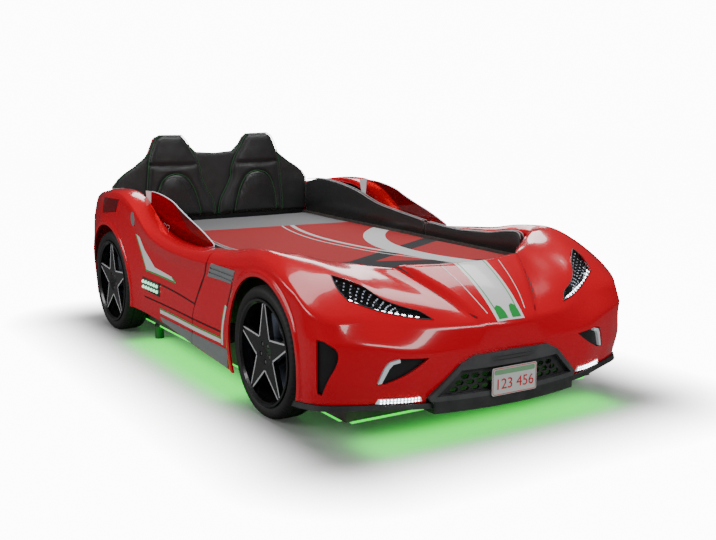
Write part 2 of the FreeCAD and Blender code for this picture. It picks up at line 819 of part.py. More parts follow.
def grille_prism(gap):
    """The grille's outline seen from the front, moved out by a gap, as a cutter along Y."""
    half = [(0, grille_top), (grille_half * grille_crown_share, grille_top - grille_crown_drop),
            (grille_half * grille_shoulder_share, grille_top - grille_shoulder_drop),
            (grille_half, grille_foot + grille_hip_rise), (grille_half - grille_foot_draw, grille_foot)]
    corners = half + [(-x, z) for x, z in reversed(half[1:])]
    face = profile_xz(nose_y - grille_reach, corners)
    if gap:
        face = face.makeOffset2D(gap, GRILLE_SHARP)
    return face.extrude(Vector(0, 2 * grille_reach, 0))


def grille_opening():
    """The cut in the nose skin for the grille, open at its foot."""
    foot = box(-grille_half - trim_gap, grille_half + trim_gap, nose_y - grille_reach,
               nose_y + grille_reach, 0, grille_foot + grille_hip_rise)
    return grille_prism(trim_gap).fuse(foot)


def grille():
    """Frame, honeycomb and number plate."""
    ring = bowed_slab(grille_half, grille_foot, grille_top, plate_stand_off, grille_frame_depth)
    ring = ring.common(grille_prism(0))
    window = grille_prism(-grille_side_band)
    window = window.common(box(-grille_half, grille_half, nose_y - grille_reach, nose_y + grille_reach,
                               grille_foot + grille_foot_band, grille_top - grille_top_band))
    frame = ring.cut(window)
    for k in range(groove_count):
        z = grille_top - grille_top_band / 2 + (k - (groove_count - 1) / 2) * groove_pitch
        slot = box(-groove_half, groove_half, nose_y - grille_reach,
                   nose_y + plate_stand_off + groove_depth, z - groove_width / 2, z + groove_width / 2)
        frame = frame.cut(slot)
    keep("grille_surround", frame)

    net = bowed_slab(grille_half, grille_foot, grille_top, mesh_inset, mesh_thickness)
    net = net.common(window)
    net = net.cut(honeycomb())

    half = plate_width / 2
    plate = box(-half, half, nose_y, nose_y + plate_thickness,
                plate_foot, plate_foot + plate_height)
    plate = plate.makeFillet(plate_corner, edges_along(plate, Vector(0, 1, 0)))
    studs = []
    for x in (-half / 2, half / 2):
        start = Vector(x, nose_y + plate_thickness / 2, plate_foot + plate_height / 2)
        length = mesh_inset + mesh_thickness
        studs.append(Part.makeCylinder(plate_stud_radius, length, start, Vector(0, 1, 0)))
    plate = plate.multiFuse(studs)
    keep("number_plate", plate)
    keep("grille_mesh", net.cut(plate))


def honeycomb():
    """Long hexagonal holes in staggered rows."""
    cells = []
    rise = mesh_pitch * mesh_flatness
    columns = int(grille_half / mesh_pitch) + 1
    rows = int((grille_top - grille_foot) / rise) + 1
    half = (mesh_pitch - mesh_bar) / 2
    tall = (rise - mesh_bar / 2) / 2
    for row in range(rows):
        for column in range(-columns, columns + 1):
            x = (column + (row % 2) / 2) * mesh_pitch
            z = grille_foot + (row + 0.5) * rise
            flat = half * mesh_flat_share
            corners = [(x - half, z), (x - flat, z + tall), (x + flat, z + tall),
                       (x + half, z), (x + flat, z - tall), (x - flat, z - tall)]
            inside = abs(x) + half < grille_half - mesh_margin
            slope = z + tall < grille_top - grille_top_band - mesh_bar
            if inside and slope and within_flank(abs(x) + half, z + tall):
                face = profile_xz(nose_y, corners)
                cells.append(face.extrude(Vector(0, mesh_inset + grille_reach, 0)))
    return Part.makeCompound(cells)


def within_flank(x, z):
    """Whether a point lies inside the grille's slanting side bands."""
    hip = grille_foot + grille_hip_rise
    share = (grille_half - x) / (grille_half * (1 - grille_shoulder_share))
    return z < hip + share * (grille_top - grille_shoulder_drop - hip) - grille_side_band - mesh_bar


def splitter():
    """Chin under the grille and the thin blade that follows the lower edge to the wheels."""
    chin = bowed_slab(chin_half, chin_foot, grille_foot, plate_stand_off, chin_depth)
    hem = [at(*point) for point in FRONT_LINES[-1][3:10]]
    sections = []
    for k, hem_point in enumerate(hem):
        point = hem_point - Vector(0, 0, blade_seam)
        tangent = hem[min(k + 1, len(hem) - 1)] - hem[max(k - 1, 0)]
        out = Vector(-tangent.y, tangent.x, 0) * -1
        out.normalize()
        corners = [point + out * blade_proud, point - out * blade_inward]
        foot = Vector(0, 0, -blade_thickness)
        corners += [corners[1] + foot, corners[0] + foot + out * blade_lean]
        sections.append(Part.makePolygon(corners + corners[:1]))
    blade = Part.makeLoft(sections, True, False)
    blade = blade.cut(wheel_arch(front_axle))
    keep("splitter", chin.multiFuse(both(blade)))


def nose_lights():
    """Headlamps, fog intakes with their daylight strips, fender inlets and light bars."""
    tray = front_cup(HEADLAMP, HEADLAMP_AIM, HEADLAMP_CURVES)
    lens = front_plug(0, lens_thickness, prism(HEADLAMP, HEADLAMP_AIM, HEADLAMP_CURVES, -trim_gap))
    keep("headlamp_trays", *both(tray))
    keep("headlamp_lenses", *both(lens))

    floor = shell_thickness + cup_depth - tray_thickness
    slab = skin(front_rows, floor - led_height, floor, front_spans)
    lamps = []
    aim = Vector(*HEADLAMP_AIM)
    aim.normalize()
    for k in range(led_count):
        share = (k + 0.5) / led_count
        middle = at(*LED_LINE[0]) * (1 - share) + at(*LED_LINE[1]) * share
        lamps.extend(both(slab.common(square_post(middle, aim))))
    keep("headlamp_leds", *lamps)

    fog = front_cup(FOG, FOG_AIM, FOG_CURVES)
    strip = front_plug(trim_gap, shell_thickness + cup_depth - tray_thickness, prism(DAYLIGHT, FOG_AIM))
    keep("fog_intakes", *both(fog))
    keep("daylight_strips", *both(strip))
    inlet = front_cup(INLET, INLET_AIM, INLET_CURVES)
    keep("fender_inlets", *both(inlet))
    bar = front_plug(-trim_proud, shell_thickness, prism(LIGHT_BAR, FOG_AIM, (), -trim_gap, bar_reach))
    keep("front_light_bars", *both(bar))


def square_post(middle, aim):
    """A square cutter along an aim, its side given by the lamp's."""
    across = aim.cross(Vector(0, 0, 1))
    across.normalize()
    upward = across.cross(aim)
    start = middle - aim * prism_reach
    half = led_side / 2
    corners = []
    for right, rise in ((-half, -half), (half, -half), (half, half), (-half, half)):
        corners.append(start + across * right + upward * rise)
    return Part.Face(Part.makePolygon(corners + corners[:1])).extrude(aim * (2 * prism_reach))


# ---------------------------------------------------------------- side trims
def side_trims():
    """Louvred vents, sill strips, light panels, caps and tail lamps."""
    vent = front_plug(-trim_proud, shell_thickness, prism(VENT, ACROSS, (), -trim_gap))
    rows = vent_slat_count
    upper = at(*VENT[0])
    lower = at(*VENT[3])
    for k in range(1, rows):
        share = k / rows
        z = upper.z * (1 - share) + lower.z * share
        slot = box(rail_inner, 2 * half_width, at(*VENT[1]).y, at(*VENT[3]).y + seam_gap,
                   z - vent_slot / 2, z + vent_slot / 2)
        outer_layer = skin(front_rows, -2 * trim_proud, vent_slot_depth, front_spans)
        vent = vent.cut(outer_layer.common(slot))
    keep("side_vents", *both(vent))

    cutter = prism(SILL_STRIP, ACROSS, (), -trim_gap)
    strips = [plug_of(-trim_proud, shell_thickness, cutter).cut(seam_cut())
              for plug_of in (side_plug, front_plug)]
    keep("sill_strips", *both(strips[0]), *both(strips[1]))
    panel = side_plug(-trim_proud, 0, prism(LED_PANEL, ACROSS))
    keep("side_light_panels", *both(panel))

    centre = at(*CAP_CENTRE)
    oval = Part.Ellipse(Vector(0, 0, 0), cap_half_height, cap_half_width).toShape()
    oval = Part.Face(Part.Wire([oval]))
    oval.rotate(Vector(0, 0, 0), Vector(0, 1, 0), 90)
    oval.translate(centre - Vector(prism_reach, 0, 0))
    disc = side_plug(-trim_proud, 0, oval.extrude(Vector(2 * prism_reach, 0, 0)))
    keep("charge_caps", *both(disc))

    lamp = side_plug(-trim_proud, shell_thickness, prism(TAIL_LAMP, ACROSS, (), -trim_gap))
    keep("tail_lamps", *both(lamp))


# ---------------------------------------------------------------- wheels
def shoulder(side, turns):
    """Points round one shoulder of the tyre, from its wall to its tread or back."""
    middle = tyre_width / 2 + side * (tyre_width / 2 - tyre_shoulder)
    height = wheel_radius - tyre_shoulder
    return [Vector(middle + side * tyre_shoulder * math.cos(turn), 0, height + tyre_shoulder * math.sin(turn))
            for turn in turns]


def tyre():
    """Tyre with faceted shoulders, its axis along X and its inner side at x = 0."""
    turns = [math.pi / 2 * k / shoulder_facets for k in range(shoulder_facets + 1)]
    section = [Vector(tyre_bulge, 0, rim_radius)] + shoulder(-1, turns)
    section += shoulder(1, reversed(turns)) + [Vector(tyre_width - tyre_bulge, 0, rim_radius)]
    return outline_face(section).revolve(Vector(0, 0, 0), Vector(1, 0, 0), 360)


def star(radius, root):
    """Five tapering spokes as one star outline in the YZ plane."""
    corners = []
    for k in range(spoke_count):
        turn = 2 * math.pi * k / spoke_count
        dent = turn + math.pi / spoke_count
        tilt = spoke_tip_half_width / radius
        corners.append((radius * math.sin(turn - tilt), radius * math.cos(turn - tilt)))
        corners.append((radius * math.sin(turn + tilt), radius * math.cos(turn + tilt)))
        corners.append((root * math.sin(dent), root * math.cos(dent)))
    return profile_yz(0, corners)


def bolt_places():
    """Centres of the wheel bolts, as (y, z) from the axle."""
    turns = [2 * math.pi * (k + 0.5) / spoke_count for k in range(spoke_count)]
    return [(bolt_circle * math.sin(turn), bolt_circle * math.cos(turn)) for turn in turns]


def rim():
    """Wheel disc with barrel, lip, spoke star, hub and back plate, its axis along X."""
    axis = Vector(1, 0, 0)
    depth = tyre_width + wheel_board_gap
    barrel = Part.makeCylinder(rim_radius, depth, Vector(0, 0, 0), axis)
    barrel = barrel.cut(Part.makeCylinder(rim_radius - rim_wall, depth, Vector(0, 0, 0), axis))
    lip = Part.makeCylinder(rim_radius, rim_lip, Vector(depth - rim_lip, 0, 0), axis)
    lip = lip.cut(Part.makeCone(rim_radius - 2 * rim_lip, rim_radius - rim_lip, rim_lip,
                                Vector(depth - rim_lip, 0, 0), axis))
    plate = Part.makeCylinder(rim_radius, rim_wall, Vector(0, 0, 0), axis)
    face = depth - spoke_face_depth
    spokes = star(rim_radius - rim_wall / 2, spoke_root_radius).extrude(Vector(spoke_thickness, 0, 0))
    spokes.translate(Vector(face - spoke_thickness, 0, 0))
    hub = Part.makeCylinder(hub_radius, face - hub_face_drop, Vector(0, 0, 0), axis)
    dish = Part.makeCone(0, hub_radius * hub_dish_share, hub_face_drop * hub_dish_share,
                         Vector(face - hub_face_drop, 0, 0), axis)
    wheel = barrel.multiFuse([lip, plate, spokes.cut(dish), hub.cut(dish)])
    pockets = []
    for y, z in bolt_places():
        pockets.append(Part.makeCylinder(wheel_bolt_radius + wheel_bolt_recess, half_width,
                                         Vector(face - hub_face_drop, y, z), axis))
    return wheel.cut(Part.makeCompound(pockets))


def brake():
    """Drilled disc on the hub and the caliper that straddles it."""
    axis = Vector(1, 0, 0)
    start = rim_wall + disc_stand_off
    disc = Part.makeCylinder(disc_radius, disc_thickness, Vector(start, 0, 0), axis)
    disc = disc.cut(Part.makeCylinder(hub_radius, disc_thickness, Vector(start, 0, 0), axis))
    holes = []
    for k in range(disc_hole_count):
        turn = 2 * math.pi * k / disc_hole_count
        radius = disc_radius - disc_hole_margin * (1 + k % 2)
        centre = Vector(start, radius * math.sin(turn), radius * math.cos(turn))
        holes.append(Part.makeCylinder(disc_hole_radius, disc_thickness, centre, axis))
    disc = disc.cut(Part.makeCompound(holes))

    sector = Part.makeCylinder(disc_radius + caliper_over, rim_wall + caliper_depth + caliper_face,
                               Vector(rim_wall, 0, 0), axis, caliper_sweep)
    sector = sector.cut(Part.makeCylinder(disc_radius - caliper_reach, half_width, Vector(0, 0, 0), axis))
    sector = sector.common(Part.makeCylinder(rim_radius - rim_wall - trim_gap, half_width,
                                             Vector(0, 0, 0), axis))
    slot = Part.makeCylinder(disc_radius + trim_gap, disc_thickness + 2 * trim_gap,
                             Vector(start - trim_gap, 0, 0), axis)
    caliper = sector.cut(slot)
    caliper.rotate(Vector(0, 0, 0), axis, caliper_turn)
    return disc, caliper


def bolts_of_wheel():
    """Hexagon bolt heads round the hub."""
    face = tyre_width + wheel_board_gap - spoke_face_depth - hub_face_drop
    heads = []
    for y, z in bolt_places():
        corners = []
        for j in range(6):
            angle = math.pi * j / 3
            corners.append((y + wheel_bolt_radius * math.sin(angle),
                            z + wheel_bolt_radius * math.cos(angle)))
        heads.append(profile_yz(face, corners).extrude(Vector(wheel_bolt_height, 0, 0)))
    return heads


def wheels():
    """Four wheels bolted to the outer faces of the side boards."""
    discs = []
    calipers = []
    bolts = []
    for place, axle in (("front", front_axle), ("rear", rear_axle)):
        hub = Vector(board_outer, axle, wheel_radius)
        ring = tyre()
        ring.translate(hub + Vector(wheel_board_gap, 0, 0))
        disc_of_wheel = rim()
        disc_of_wheel.translate(hub)
        keep("tyre_%s_right" % place, ring)
        keep("tyre_%s_left" % place, mirrored(ring))
        keep("rim_%s_right" % place, disc_of_wheel)
        keep("rim_%s_left" % place, mirrored(disc_of_wheel))
        disc, caliper = brake()
        heads = bolts_of_wheel()
        for piece in [disc, caliper] + heads:
            piece.translate(hub)
        discs.extend(both(disc))
        calipers.extend(both(caliper))
        for head in heads:
            bolts.extend(both(head))
    keep("brake_discs", *discs)
    keep("brake_calipers", *calipers)
    keep("wheel_bolts", *bolts)


# ---------------------------------------------------------------- upholstery
SEAT = ((4, 432), (18, 505), (46, 556), (70, 606), (77, 655), (95, 702), (120, 742), (145, 785),
        (166, 807), (262, 809), (286, 796), (302, 765), (322, 705), (334, 602), (342, 520), (346, 432))
SEAT_CURVES = ((0, 7), (7, 1), (8, 1), (9, 1), (10, 5))
SEAT_INSERT = ((84, 440), (95, 495), (116, 560), (148, 612), (180, 630), (212, 634), (245, 624),
               (268, 604), (290, 556), (301, 500), (303, 440))
SEAT_INSERT_CURVES = ((0, 5), (5, 5))
HEAD_PAD = ((0, 432), (0, 720), (92, 727), (170, 800), (262, 790), (336, 708), (386, 670), (432, 642),
            (464, 616), (482, 589), (482, 432))
REAR_PAD_TOP = ((1032, 579), (900, 590), (740, 583), (575, 561), (400, 520), (220, 498), (26, 480))
FRONT_PAD_TOP = ((22, 480), (-170, 472), (-360, 482), (-556, 500))
FRONT_PAD_FOOT = -572
WINDOW = ((529, 493), (487, 477), (392, 461), (240, 446), (49, 449), (-84, 470), (-84, 478),
          (-16, 502), (46, 521), (136, 545), (230, 573), (278, 589), (348, 602), (430, 611), (512, 613))
WINDOW_CURVES = ((0, 5), (6, 8))
WINDOW_POST = ((533, 495), (516, 613), (574, 611), (560, 560), (546, 505))
WINDOW_SCREWS = ((215, 457), (25, 455))


def seat_outline(corners, curved, y):
    """A cushion outline on the headboard, as a face at y."""
    places = (0.0, board_outer)
    return profile_xz(y, [(between(x, DRAWN_BOARD, places), up(z)) for x, z in corners], curved)


def front_edges(shape, y):
    """Edges of a cushion that lie in its front plane."""
    return [edge for edge in shape.Edges
            if abs(edge.BoundBox.YMin - y) < small and abs(edge.BoundBox.YMax - y) < small]


def headboard_cushions():
    """Two seat backs with separate inserts, and the flat pads round them."""
    seat = seat_outline(SEAT, SEAT_CURVES, seat_front).extrude(Vector(0, seat_thickness, 0))
    sleeve = seat
    seat = seat.makeFillet(seat_round, front_edges(seat, seat_front))
    pocket = seat_outline(SEAT_INSERT, SEAT_INSERT_CURVES, seat_front - insert_proud)
    insert = pocket.extrude(Vector(0, insert_proud + insert_depth, 0))
    seat = seat.cut(insert)
    front = seat_front - insert_proud
    insert = insert.makeFillet(insert_round, front_edges(insert, front))
    keep("seat_right", seat)
    keep("seat_left", mirrored(seat))
    keep("seat_inserts", *both(insert))

    pad = seat_outline(HEAD_PAD, (), head_pad_front).extrude(Vector(0, head_pad_thickness, 0))
    pad = pad.cut(sleeve).fuse(mirrored(pad.cut(sleeve))).cut(both(sleeve)).removeSplitter()
    keep("headboard_pads", pad)


def side_pad(top, ends):
    """An upholstered panel on the side board's upper edge."""
    crest = [Vector(side_pad_inner, along(y), up(z)) for y, z in top]
    first = Vector(side_pad_inner, ends[0], side_board_top)
    last = Vector(side_pad_inner, ends[1], side_board_top)
    face = outline_face([last, first] + crest)
    pad = face.extrude(Vector(side_pad_thickness, 0, 0))
    crown = [edge for edge in pad.Edges if is_crest(edge)]
    return pad.makeFillet(pad_round, crown)


def is_crest(edge):
    """Whether an edge runs along the pad's top."""
    box_of_edge = edge.BoundBox
    return box_of_edge.YLength > pad_round and box_of_edge.ZMin > side_board_top + small


def side_cushions():
    """Two padded panels along each side."""
    head_end = head_pad_front - pad_end_gap
    rear_top = ((head_end, REAR_PAD_TOP[0][1]),) + REAR_PAD_TOP[1:]
    rear = side_pad(rear_top, (head_end, along(REAR_PAD_TOP[-1][0])))
    front = side_pad(FRONT_PAD_TOP, (along(FRONT_PAD_TOP[0][0]), along(FRONT_PAD_FOOT)))
    for name, pad in (("rear", rear), ("front", front)):
        keep("side_pad_%s_right" % name, pad)
        keep("side_pad_%s_left" % name, mirrored(pad))


# ---------------------------------------------------------------- windows
def on_rail(corners):
    """(y, z) corners carried with the body form."""
    return [(along(y), up(z)) for y, z in corners]


def window_screw(y, z, gap):
    """A screw through the window's foot into the rail's flange."""
    (py, pz), = on_rail([(y, z)])
    axis = Vector(1, 0, 0)
    head = Part.makeCylinder(window_screw_head, window_screw_head_height,
                             Vector(window_inner - window_screw_head_height, py, pz), axis)
    shank = Part.makeCylinder(window_screw_radius + gap, window_screw_length + gap,
                              Vector(window_inner, py, pz), axis)
    return shank if gap else head.fuse(shank)


def window_screw_holes():
    """The holes for these screws."""
    return Part.makeCompound([window_screw(y, z, screw_hole_gap) for y, z in WINDOW_SCREWS])


def windows():
    """Tinted side windows, the posts behind them and their screws."""
    glass = profile_yz(window_inner, on_rail(WINDOW), WINDOW_CURVES)
    glass = glass.extrude(Vector(window_thickness, 0, 0)).cut(window_screw_holes())
    keep("window_right", glass)
    keep("window_left", mirrored(glass))
    post = profile_yz(window_inner, on_rail(WINDOW_POST)).extrude(Vector(window_thickness, 0, 0))
    keep("window_posts", *both(post))
    screws = []
    for y, z in WINDOW_SCREWS:
        screws.extend(both(window_screw(y, z, 0)))
    keep("window_screws", *screws)


# ---------------------------------------------------------------- supports inside
def fitted_behind(skins, block, seed):
    """The piece of a block that the skins leave on the side of a seed point."""
    rest = block.cut(skins)
    return min(rest.Solids, key=lambda solid: solid.distToShape(Part.Vertex(seed))[0])


def supports(nose, side, tail):
    """Wooden ribs under the hood, and blocks behind the side and tail skins."""
    rib = box(rib_place - rib_thickness / 2, rib_place + rib_thickness / 2, nose_y + rib_setback,
              foot_board_front, rib_foot, shoulder_height)
    seed = Vector(rib_place, foot_board_front, rib_foot)
    pieces = both(fitted_behind(nose, rib, seed))
    skins = nose.fuse(side)
    for drawn_y in SIDE_BLOCKS:
        start = along(drawn_y)
        block = box(board_outer, 2 * half_width, start, start + block_length,
                    block_foot, block_foot + block_height)
        pieces.extend(both(fitted_behind(skins, block, Vector(board_outer, start, block_foot))))
    block = box(tail_block_place, tail_block_place + block_length, head_board_back,
                tail_y + tail_depth, block_foot, block_foot + block_height)
    seed = Vector(tail_block_place, head_board_back, block_foot)
    pieces.extend(both(fitted_behind(tail, block, seed)))
    keep("body_supports", *pieces)


# ---------------------------------------------------------------- electrics
def glow_strips():
    """Light strips under the side boards and the foot board."""
    middle = (board_inner + board_outer) / 2
    half = glow_strip_width / 2
    low = board_foot_height - glow_strip_height
    runs = []
    clear = glide_radius + glow_end_gap
    places = (foot_board_back,) + glide_places()
    for y0, y1 in zip(places[:-1], places[1:]):
        runs.extend(both(box(middle - half, middle + half, y0 + clear, y1 - clear,
                             low, board_foot_height)))
    y = (foot_board_front + foot_board_back) / 2
    reach = board_inner - glow_end_gap
    runs.append(box(-reach, reach, y - half, y + half, low, board_foot_height))
    keep("underglow_strips", *runs)


def control_unit():
    """Power unit on the inner face of the left side board, its inlet and rocker switch."""
    outer = -board_inner
    inner = outer + unit_depth
    y0 = unit_place
    y1 = y0 + unit_length
    unit = box(outer, inner, y0, y1, unit_foot, unit_foot + unit_height)
    unit = unit.makeFillet(unit_round, edges_along(unit, Vector(1, 0, 0)))
    middle = unit_foot + unit_height / 2
    gap = switch_gap
    switch_y = y0 + unit_length * switch_share
    hollow = box(inner - switch_depth - gap, inner, switch_y - switch_length / 2 - gap,
                 switch_y + switch_length / 2 + gap, middle - switch_width / 2 - gap,
                 middle + switch_width / 2 + gap)
    inlet_y = y0 + unit_length * inlet_share
    axis = Vector(1, 0, 0)
    socket = Part.makeCylinder(inlet_radius, inlet_depth, Vector(inner - inlet_depth, inlet_y, middle), axis)
    keep("control_unit", unit.cut(hollow).cut(socket))
    sleeve = socket.cut(Part.makeCylinder(inlet_bore, inlet_depth - inlet_floor,
                                          Vector(inner - inlet_depth + inlet_floor, inlet_y, middle), axis))
    pin = Part.makeCylinder(inlet_pin, inlet_depth - 2 * inlet_floor,
                            Vector(inner - inlet_depth + inlet_floor, inlet_y, middle), axis)
    keep("power_inlet", sleeve.fuse(pin))

    pivot = inner - switch_pivot_depth
    face = rocker_face(pivot, switch_y, middle - switch_width / 2)
    rocker = face.extrude(Vector(0, 0, switch_width))
    pin = Part.makeCylinder(switch_pin, switch_width + 2 * switch_pin_reach,
                            Vector(pivot, switch_y, middle - switch_width / 2 - switch_pin_reach))
    reach = switch_width / 2 + switch_pin_reach + bearing_end
    bearing = Part.makeCylinder(switch_pin + running_gap, 2 * reach, Vector(pivot, switch_y, middle - reach))
    keep("power_switch", rocker.fuse(pin))
    parts["control_unit"] = parts["control_unit"].cut(bearing)


def rocker_face(pivot, y, z):
    """The rocker's outline about its pivot, tilted to its off position."""
    half = switch_length / 2
    corners = [(-switch_keel, 0), (switch_rise, -half), (switch_rise - switch_dish, 0), (switch_rise, half)]
    tilt = math.radians(-switch_swing)
    turned = []
    for dx, dy in corners:
        turned.append(Vector(pivot + dx * math.cos(tilt) - dy * math.sin(tilt),
                             y + dx * math.sin(tilt) + dy * math.cos(tilt), z))
    return Part.Face(Part.makePolygon(turned + turned[:1]))


def build():
    """Make every piece of the bed."""
    board_frame()
    bedding()
    nose = nose_shell()
    side = side_shell()
    tail = tail_shell()
    keep("nose_shell", nose)
    keep("side_shell_right", side)
    keep("side_shell_left", mirrored(side))
    keep("tail_shell", tail)
    supports(nose, side, tail)
    grille()
    splitter()
    nose_lights()
    side_trims()
    wheels()
    headboard_cushions()
    side_cushions()
    windows()
    glow_strips()
    control_unit()


build()
os.makedirs("parts", exist_ok=True)
for name, shape in parts.items():
    shape.exportStep("parts/%s.step" % name)
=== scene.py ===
"""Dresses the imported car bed: body skins, lamps, wheels, upholstery, bedding, glow, studio."""

import json
import logging
import math
from dataclasses import dataclass, field
from enum import Enum

import bmesh
import bpy
import numpy as np
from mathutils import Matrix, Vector, noise
from mathutils.bvhtree import BVHTree
from mathutils.geometry import delaunay_2d_cdt

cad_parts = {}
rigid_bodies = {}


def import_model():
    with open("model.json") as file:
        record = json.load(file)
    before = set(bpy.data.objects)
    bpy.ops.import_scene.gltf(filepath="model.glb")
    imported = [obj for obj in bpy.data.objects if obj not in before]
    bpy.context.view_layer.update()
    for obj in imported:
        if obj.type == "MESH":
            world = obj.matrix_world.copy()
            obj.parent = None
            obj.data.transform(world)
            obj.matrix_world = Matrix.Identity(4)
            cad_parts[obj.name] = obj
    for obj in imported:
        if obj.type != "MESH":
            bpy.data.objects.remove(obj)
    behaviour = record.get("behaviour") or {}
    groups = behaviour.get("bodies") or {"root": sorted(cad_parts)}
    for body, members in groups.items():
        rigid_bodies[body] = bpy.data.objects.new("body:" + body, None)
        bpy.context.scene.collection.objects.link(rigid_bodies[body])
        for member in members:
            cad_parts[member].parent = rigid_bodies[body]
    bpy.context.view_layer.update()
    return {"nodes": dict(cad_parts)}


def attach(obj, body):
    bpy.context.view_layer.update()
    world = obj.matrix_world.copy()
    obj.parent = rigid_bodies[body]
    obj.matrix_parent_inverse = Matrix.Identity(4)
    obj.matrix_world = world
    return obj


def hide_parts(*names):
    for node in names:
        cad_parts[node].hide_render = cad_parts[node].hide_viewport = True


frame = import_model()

log = logging.getLogger("car_bed")

MM = 0.001
Colour = tuple[float, float, float]
Place = tuple[float, float, float]
Points = list[Place]
FlatPoints = list[tuple[float, float]]
Spots = list[tuple[np.ndarray, np.ndarray]]
Curves = tuple[tuple[int, int], ...]
Faces = list[tuple[int, ...]]
Array = np.ndarray
Piece = bpy.types.Object
Node = bpy.types.Node
Socket = bpy.types.NodeSocket
Tree = bpy.types.ShaderNodeTree

# Drawn character lines of the body, in millimetres, from the middle of the nose round the
# right side to the middle of the tail: rim, ridge, lamp, crease, brow, low, hem.
DRAWN_LINES: tuple[tuple[tuple[int, int, int], ...], ...] = (
    ((0, -885, 486), (228, -852, 491), (250, -812, 477), (287, -771, 481), (339, -726, 487),
     (390, -679, 490), (435, -648, 502), (464, -632, 512), (492, -612, 513), (507, -572, 509),
     (510, -510, 500), (510, -430, 492), (510, -330, 484), (510, -215, 476), (510, 20, 456),
     (510, 200, 460), (510, 330, 482), (510, 430, 520), (510, 520, 568), (510, 620, 598), (510, 740, 603),
     (510, 860, 590), (510, 960, 576), (506, 1050, 562), (480, 1087, 558), (400, 1093, 556),
     (0, 1096, 554)),
    ((0, -950, 459), (190, -925, 462), (206, -914, 443), (262, -880, 452), (335, -830, 474),
     (412, -780, 494), (478, -738, 512), (524, -710, 520), (545, -675, 526), (552, -625, 530),
     (552, -560, 527), (548, -470, 518), (548, -335, 494), (548, -217, 482), (548, 20, 462),
     (548, 200, 468), (548, 330, 490), (548, 430, 530), (548, 520, 577), (548, 620, 605), (546, 740, 608),
     (540, 865, 595), (528, 968, 580), (516, 1060, 568), (484, 1097, 563), (400, 1104, 560),
     (0, 1107, 558)),
    ((0, -1040, 399), (135, -1020, 404), (150, -1020, 386), (240, -1025, 386), (322, -992, 402),
     (412, -908, 456), (484, -850, 480), (540, -830, 478), (574, -770, 488), (582, -690, 506),
     (583, -590, 512), (583, -480, 496), (583, -340, 474), (583, -218, 464), (583, 20, 452),
     (583, 200, 460), (583, 335, 484), (583, 435, 530), (583, 525, 577), (583, 622, 603), (581, 742, 604),
     (570, 868, 589), (550, 978, 574), (530, 1066, 562), (490, 1105, 557), (402, 1111, 554),
     (0, 1114, 552)),
    ((0, -1106, 333), (95, -1098, 338), (111, -1092, 337), (250, -1066, 344), (325, -1036, 356),
     (404, -1000, 372), (484, -990, 376), (544, -978, 374), (586, -925, 396), (599, -830, 442),
     (601, -640, 484), (599, -490, 468), (598, -345, 450), (597, -219, 438), (597, 20, 433),
     (597, 200, 441), (597, 340, 474), (597, 440, 530), (598, 530, 573), (598, 625, 596), (596, 745, 594),
     (586, 872, 574), (564, 988, 556), (544, 1074, 546), (496, 1110, 541), (404, 1115, 538),
     (0, 1118, 536)),
    ((0, -1104, 262), (112, -1101, 264), (130, -1099, 264), (265, -1086, 274), (345, -1074, 284),
     (430, -1048, 302), (508, -1018, 312), (566, -986, 316), (598, -930, 324), (604, -830, 340),
     (604, -640, 400), (600, -500, 395), (592, -350, 396), (590, -190, 398), (588, 30, 394),
     (586, 200, 394), (588, 350, 410), (592, 455, 450), (600, 545, 490), (603, 640, 515), (604, 760, 505),
     (600, 895, 485), (584, 1005, 470), (560, 1082, 464), (506, 1112, 460), (408, 1116, 458),
     (0, 1118, 456)),
    ((0, -1096, 180), (112, -1094, 180), (130, -1092, 180), (268, -1078, 182), (350, -1068, 186),
     (436, -1038, 192), (514, -1010, 198), (570, -978, 202), (600, -925, 206), (605, -830, 212),
     (604, -640, 230), (600, -500, 250), (594, -350, 240), (592, -72, 232), (588, 60, 238),
     (586, 210, 238), (588, 360, 245), (592, 470, 270), (600, 560, 300), (604, 650, 325), (605, 780, 330),
     (603, 905, 330), (590, 1015, 325), (564, 1085, 322), (510, 1114, 320), (412, 1118, 320),
     (0, 1119, 320)),
    ((0, -1084, 112), (112, -1082, 112), (130, -1080, 113), (262, -1064, 120), (344, -1056, 126),
     (430, -1026, 130), (506, -998, 132), (560, -966, 132), (592, -918, 130), (602, -830, 124),
     (600, -650, 112), (596, -500, 104), (592, -350, 98), (590, -60, 96), (586, 70, 100), (582, 215, 108),
     (582, 365, 116), (586, 480, 124), (594, 565, 128), (598, 650, 124), (600, 780, 118), (598, 905, 118),
     (582, 1005, 122), (556, 1070, 124), (504, 1098, 126), (408, 1104, 128), (0, 1106, 128)),
)
# Stations along each line: the door seam, the tail seam, the tail's middle and the sharp turns.
DOOR_SEAM = 13
TAIL_SEAM = 22
TAIL_MIDDLE = 26
FORM_BREAKS = (1, 2)
# Rows down the body, with a turned-in lip before the first line and a skirt under the last one.
RIM_TURN = 0.020
SKIRT_DROP = 0.16
ROW_SHARP = (1.0, 0.55, 0.30, 0.25, 0.75, 0.55, 0.35, 1.0, 1.0)
HEM_ROW = 7
SKIRT_ROW = 8

# Drawn places and where this bed carries them, along Y.
DRAWN_ALONG = (-1121.0, -612.0, 815.0, 1121.0)
PLACED_ALONG = (-1119.0, -611.0, 816.0, 1119.0)

# Wheels, their arches and the side boards, in metres.
FRONT_AXLE = -0.611
REAR_AXLE = 0.816
WHEEL_RADIUS = 0.211
ARCH_FORWARD = 0.016
ARCH_RADIUS = 0.243
ARCH_LIP_WIDTH = 0.022
ARCH_LIP_PROUD = 0.005
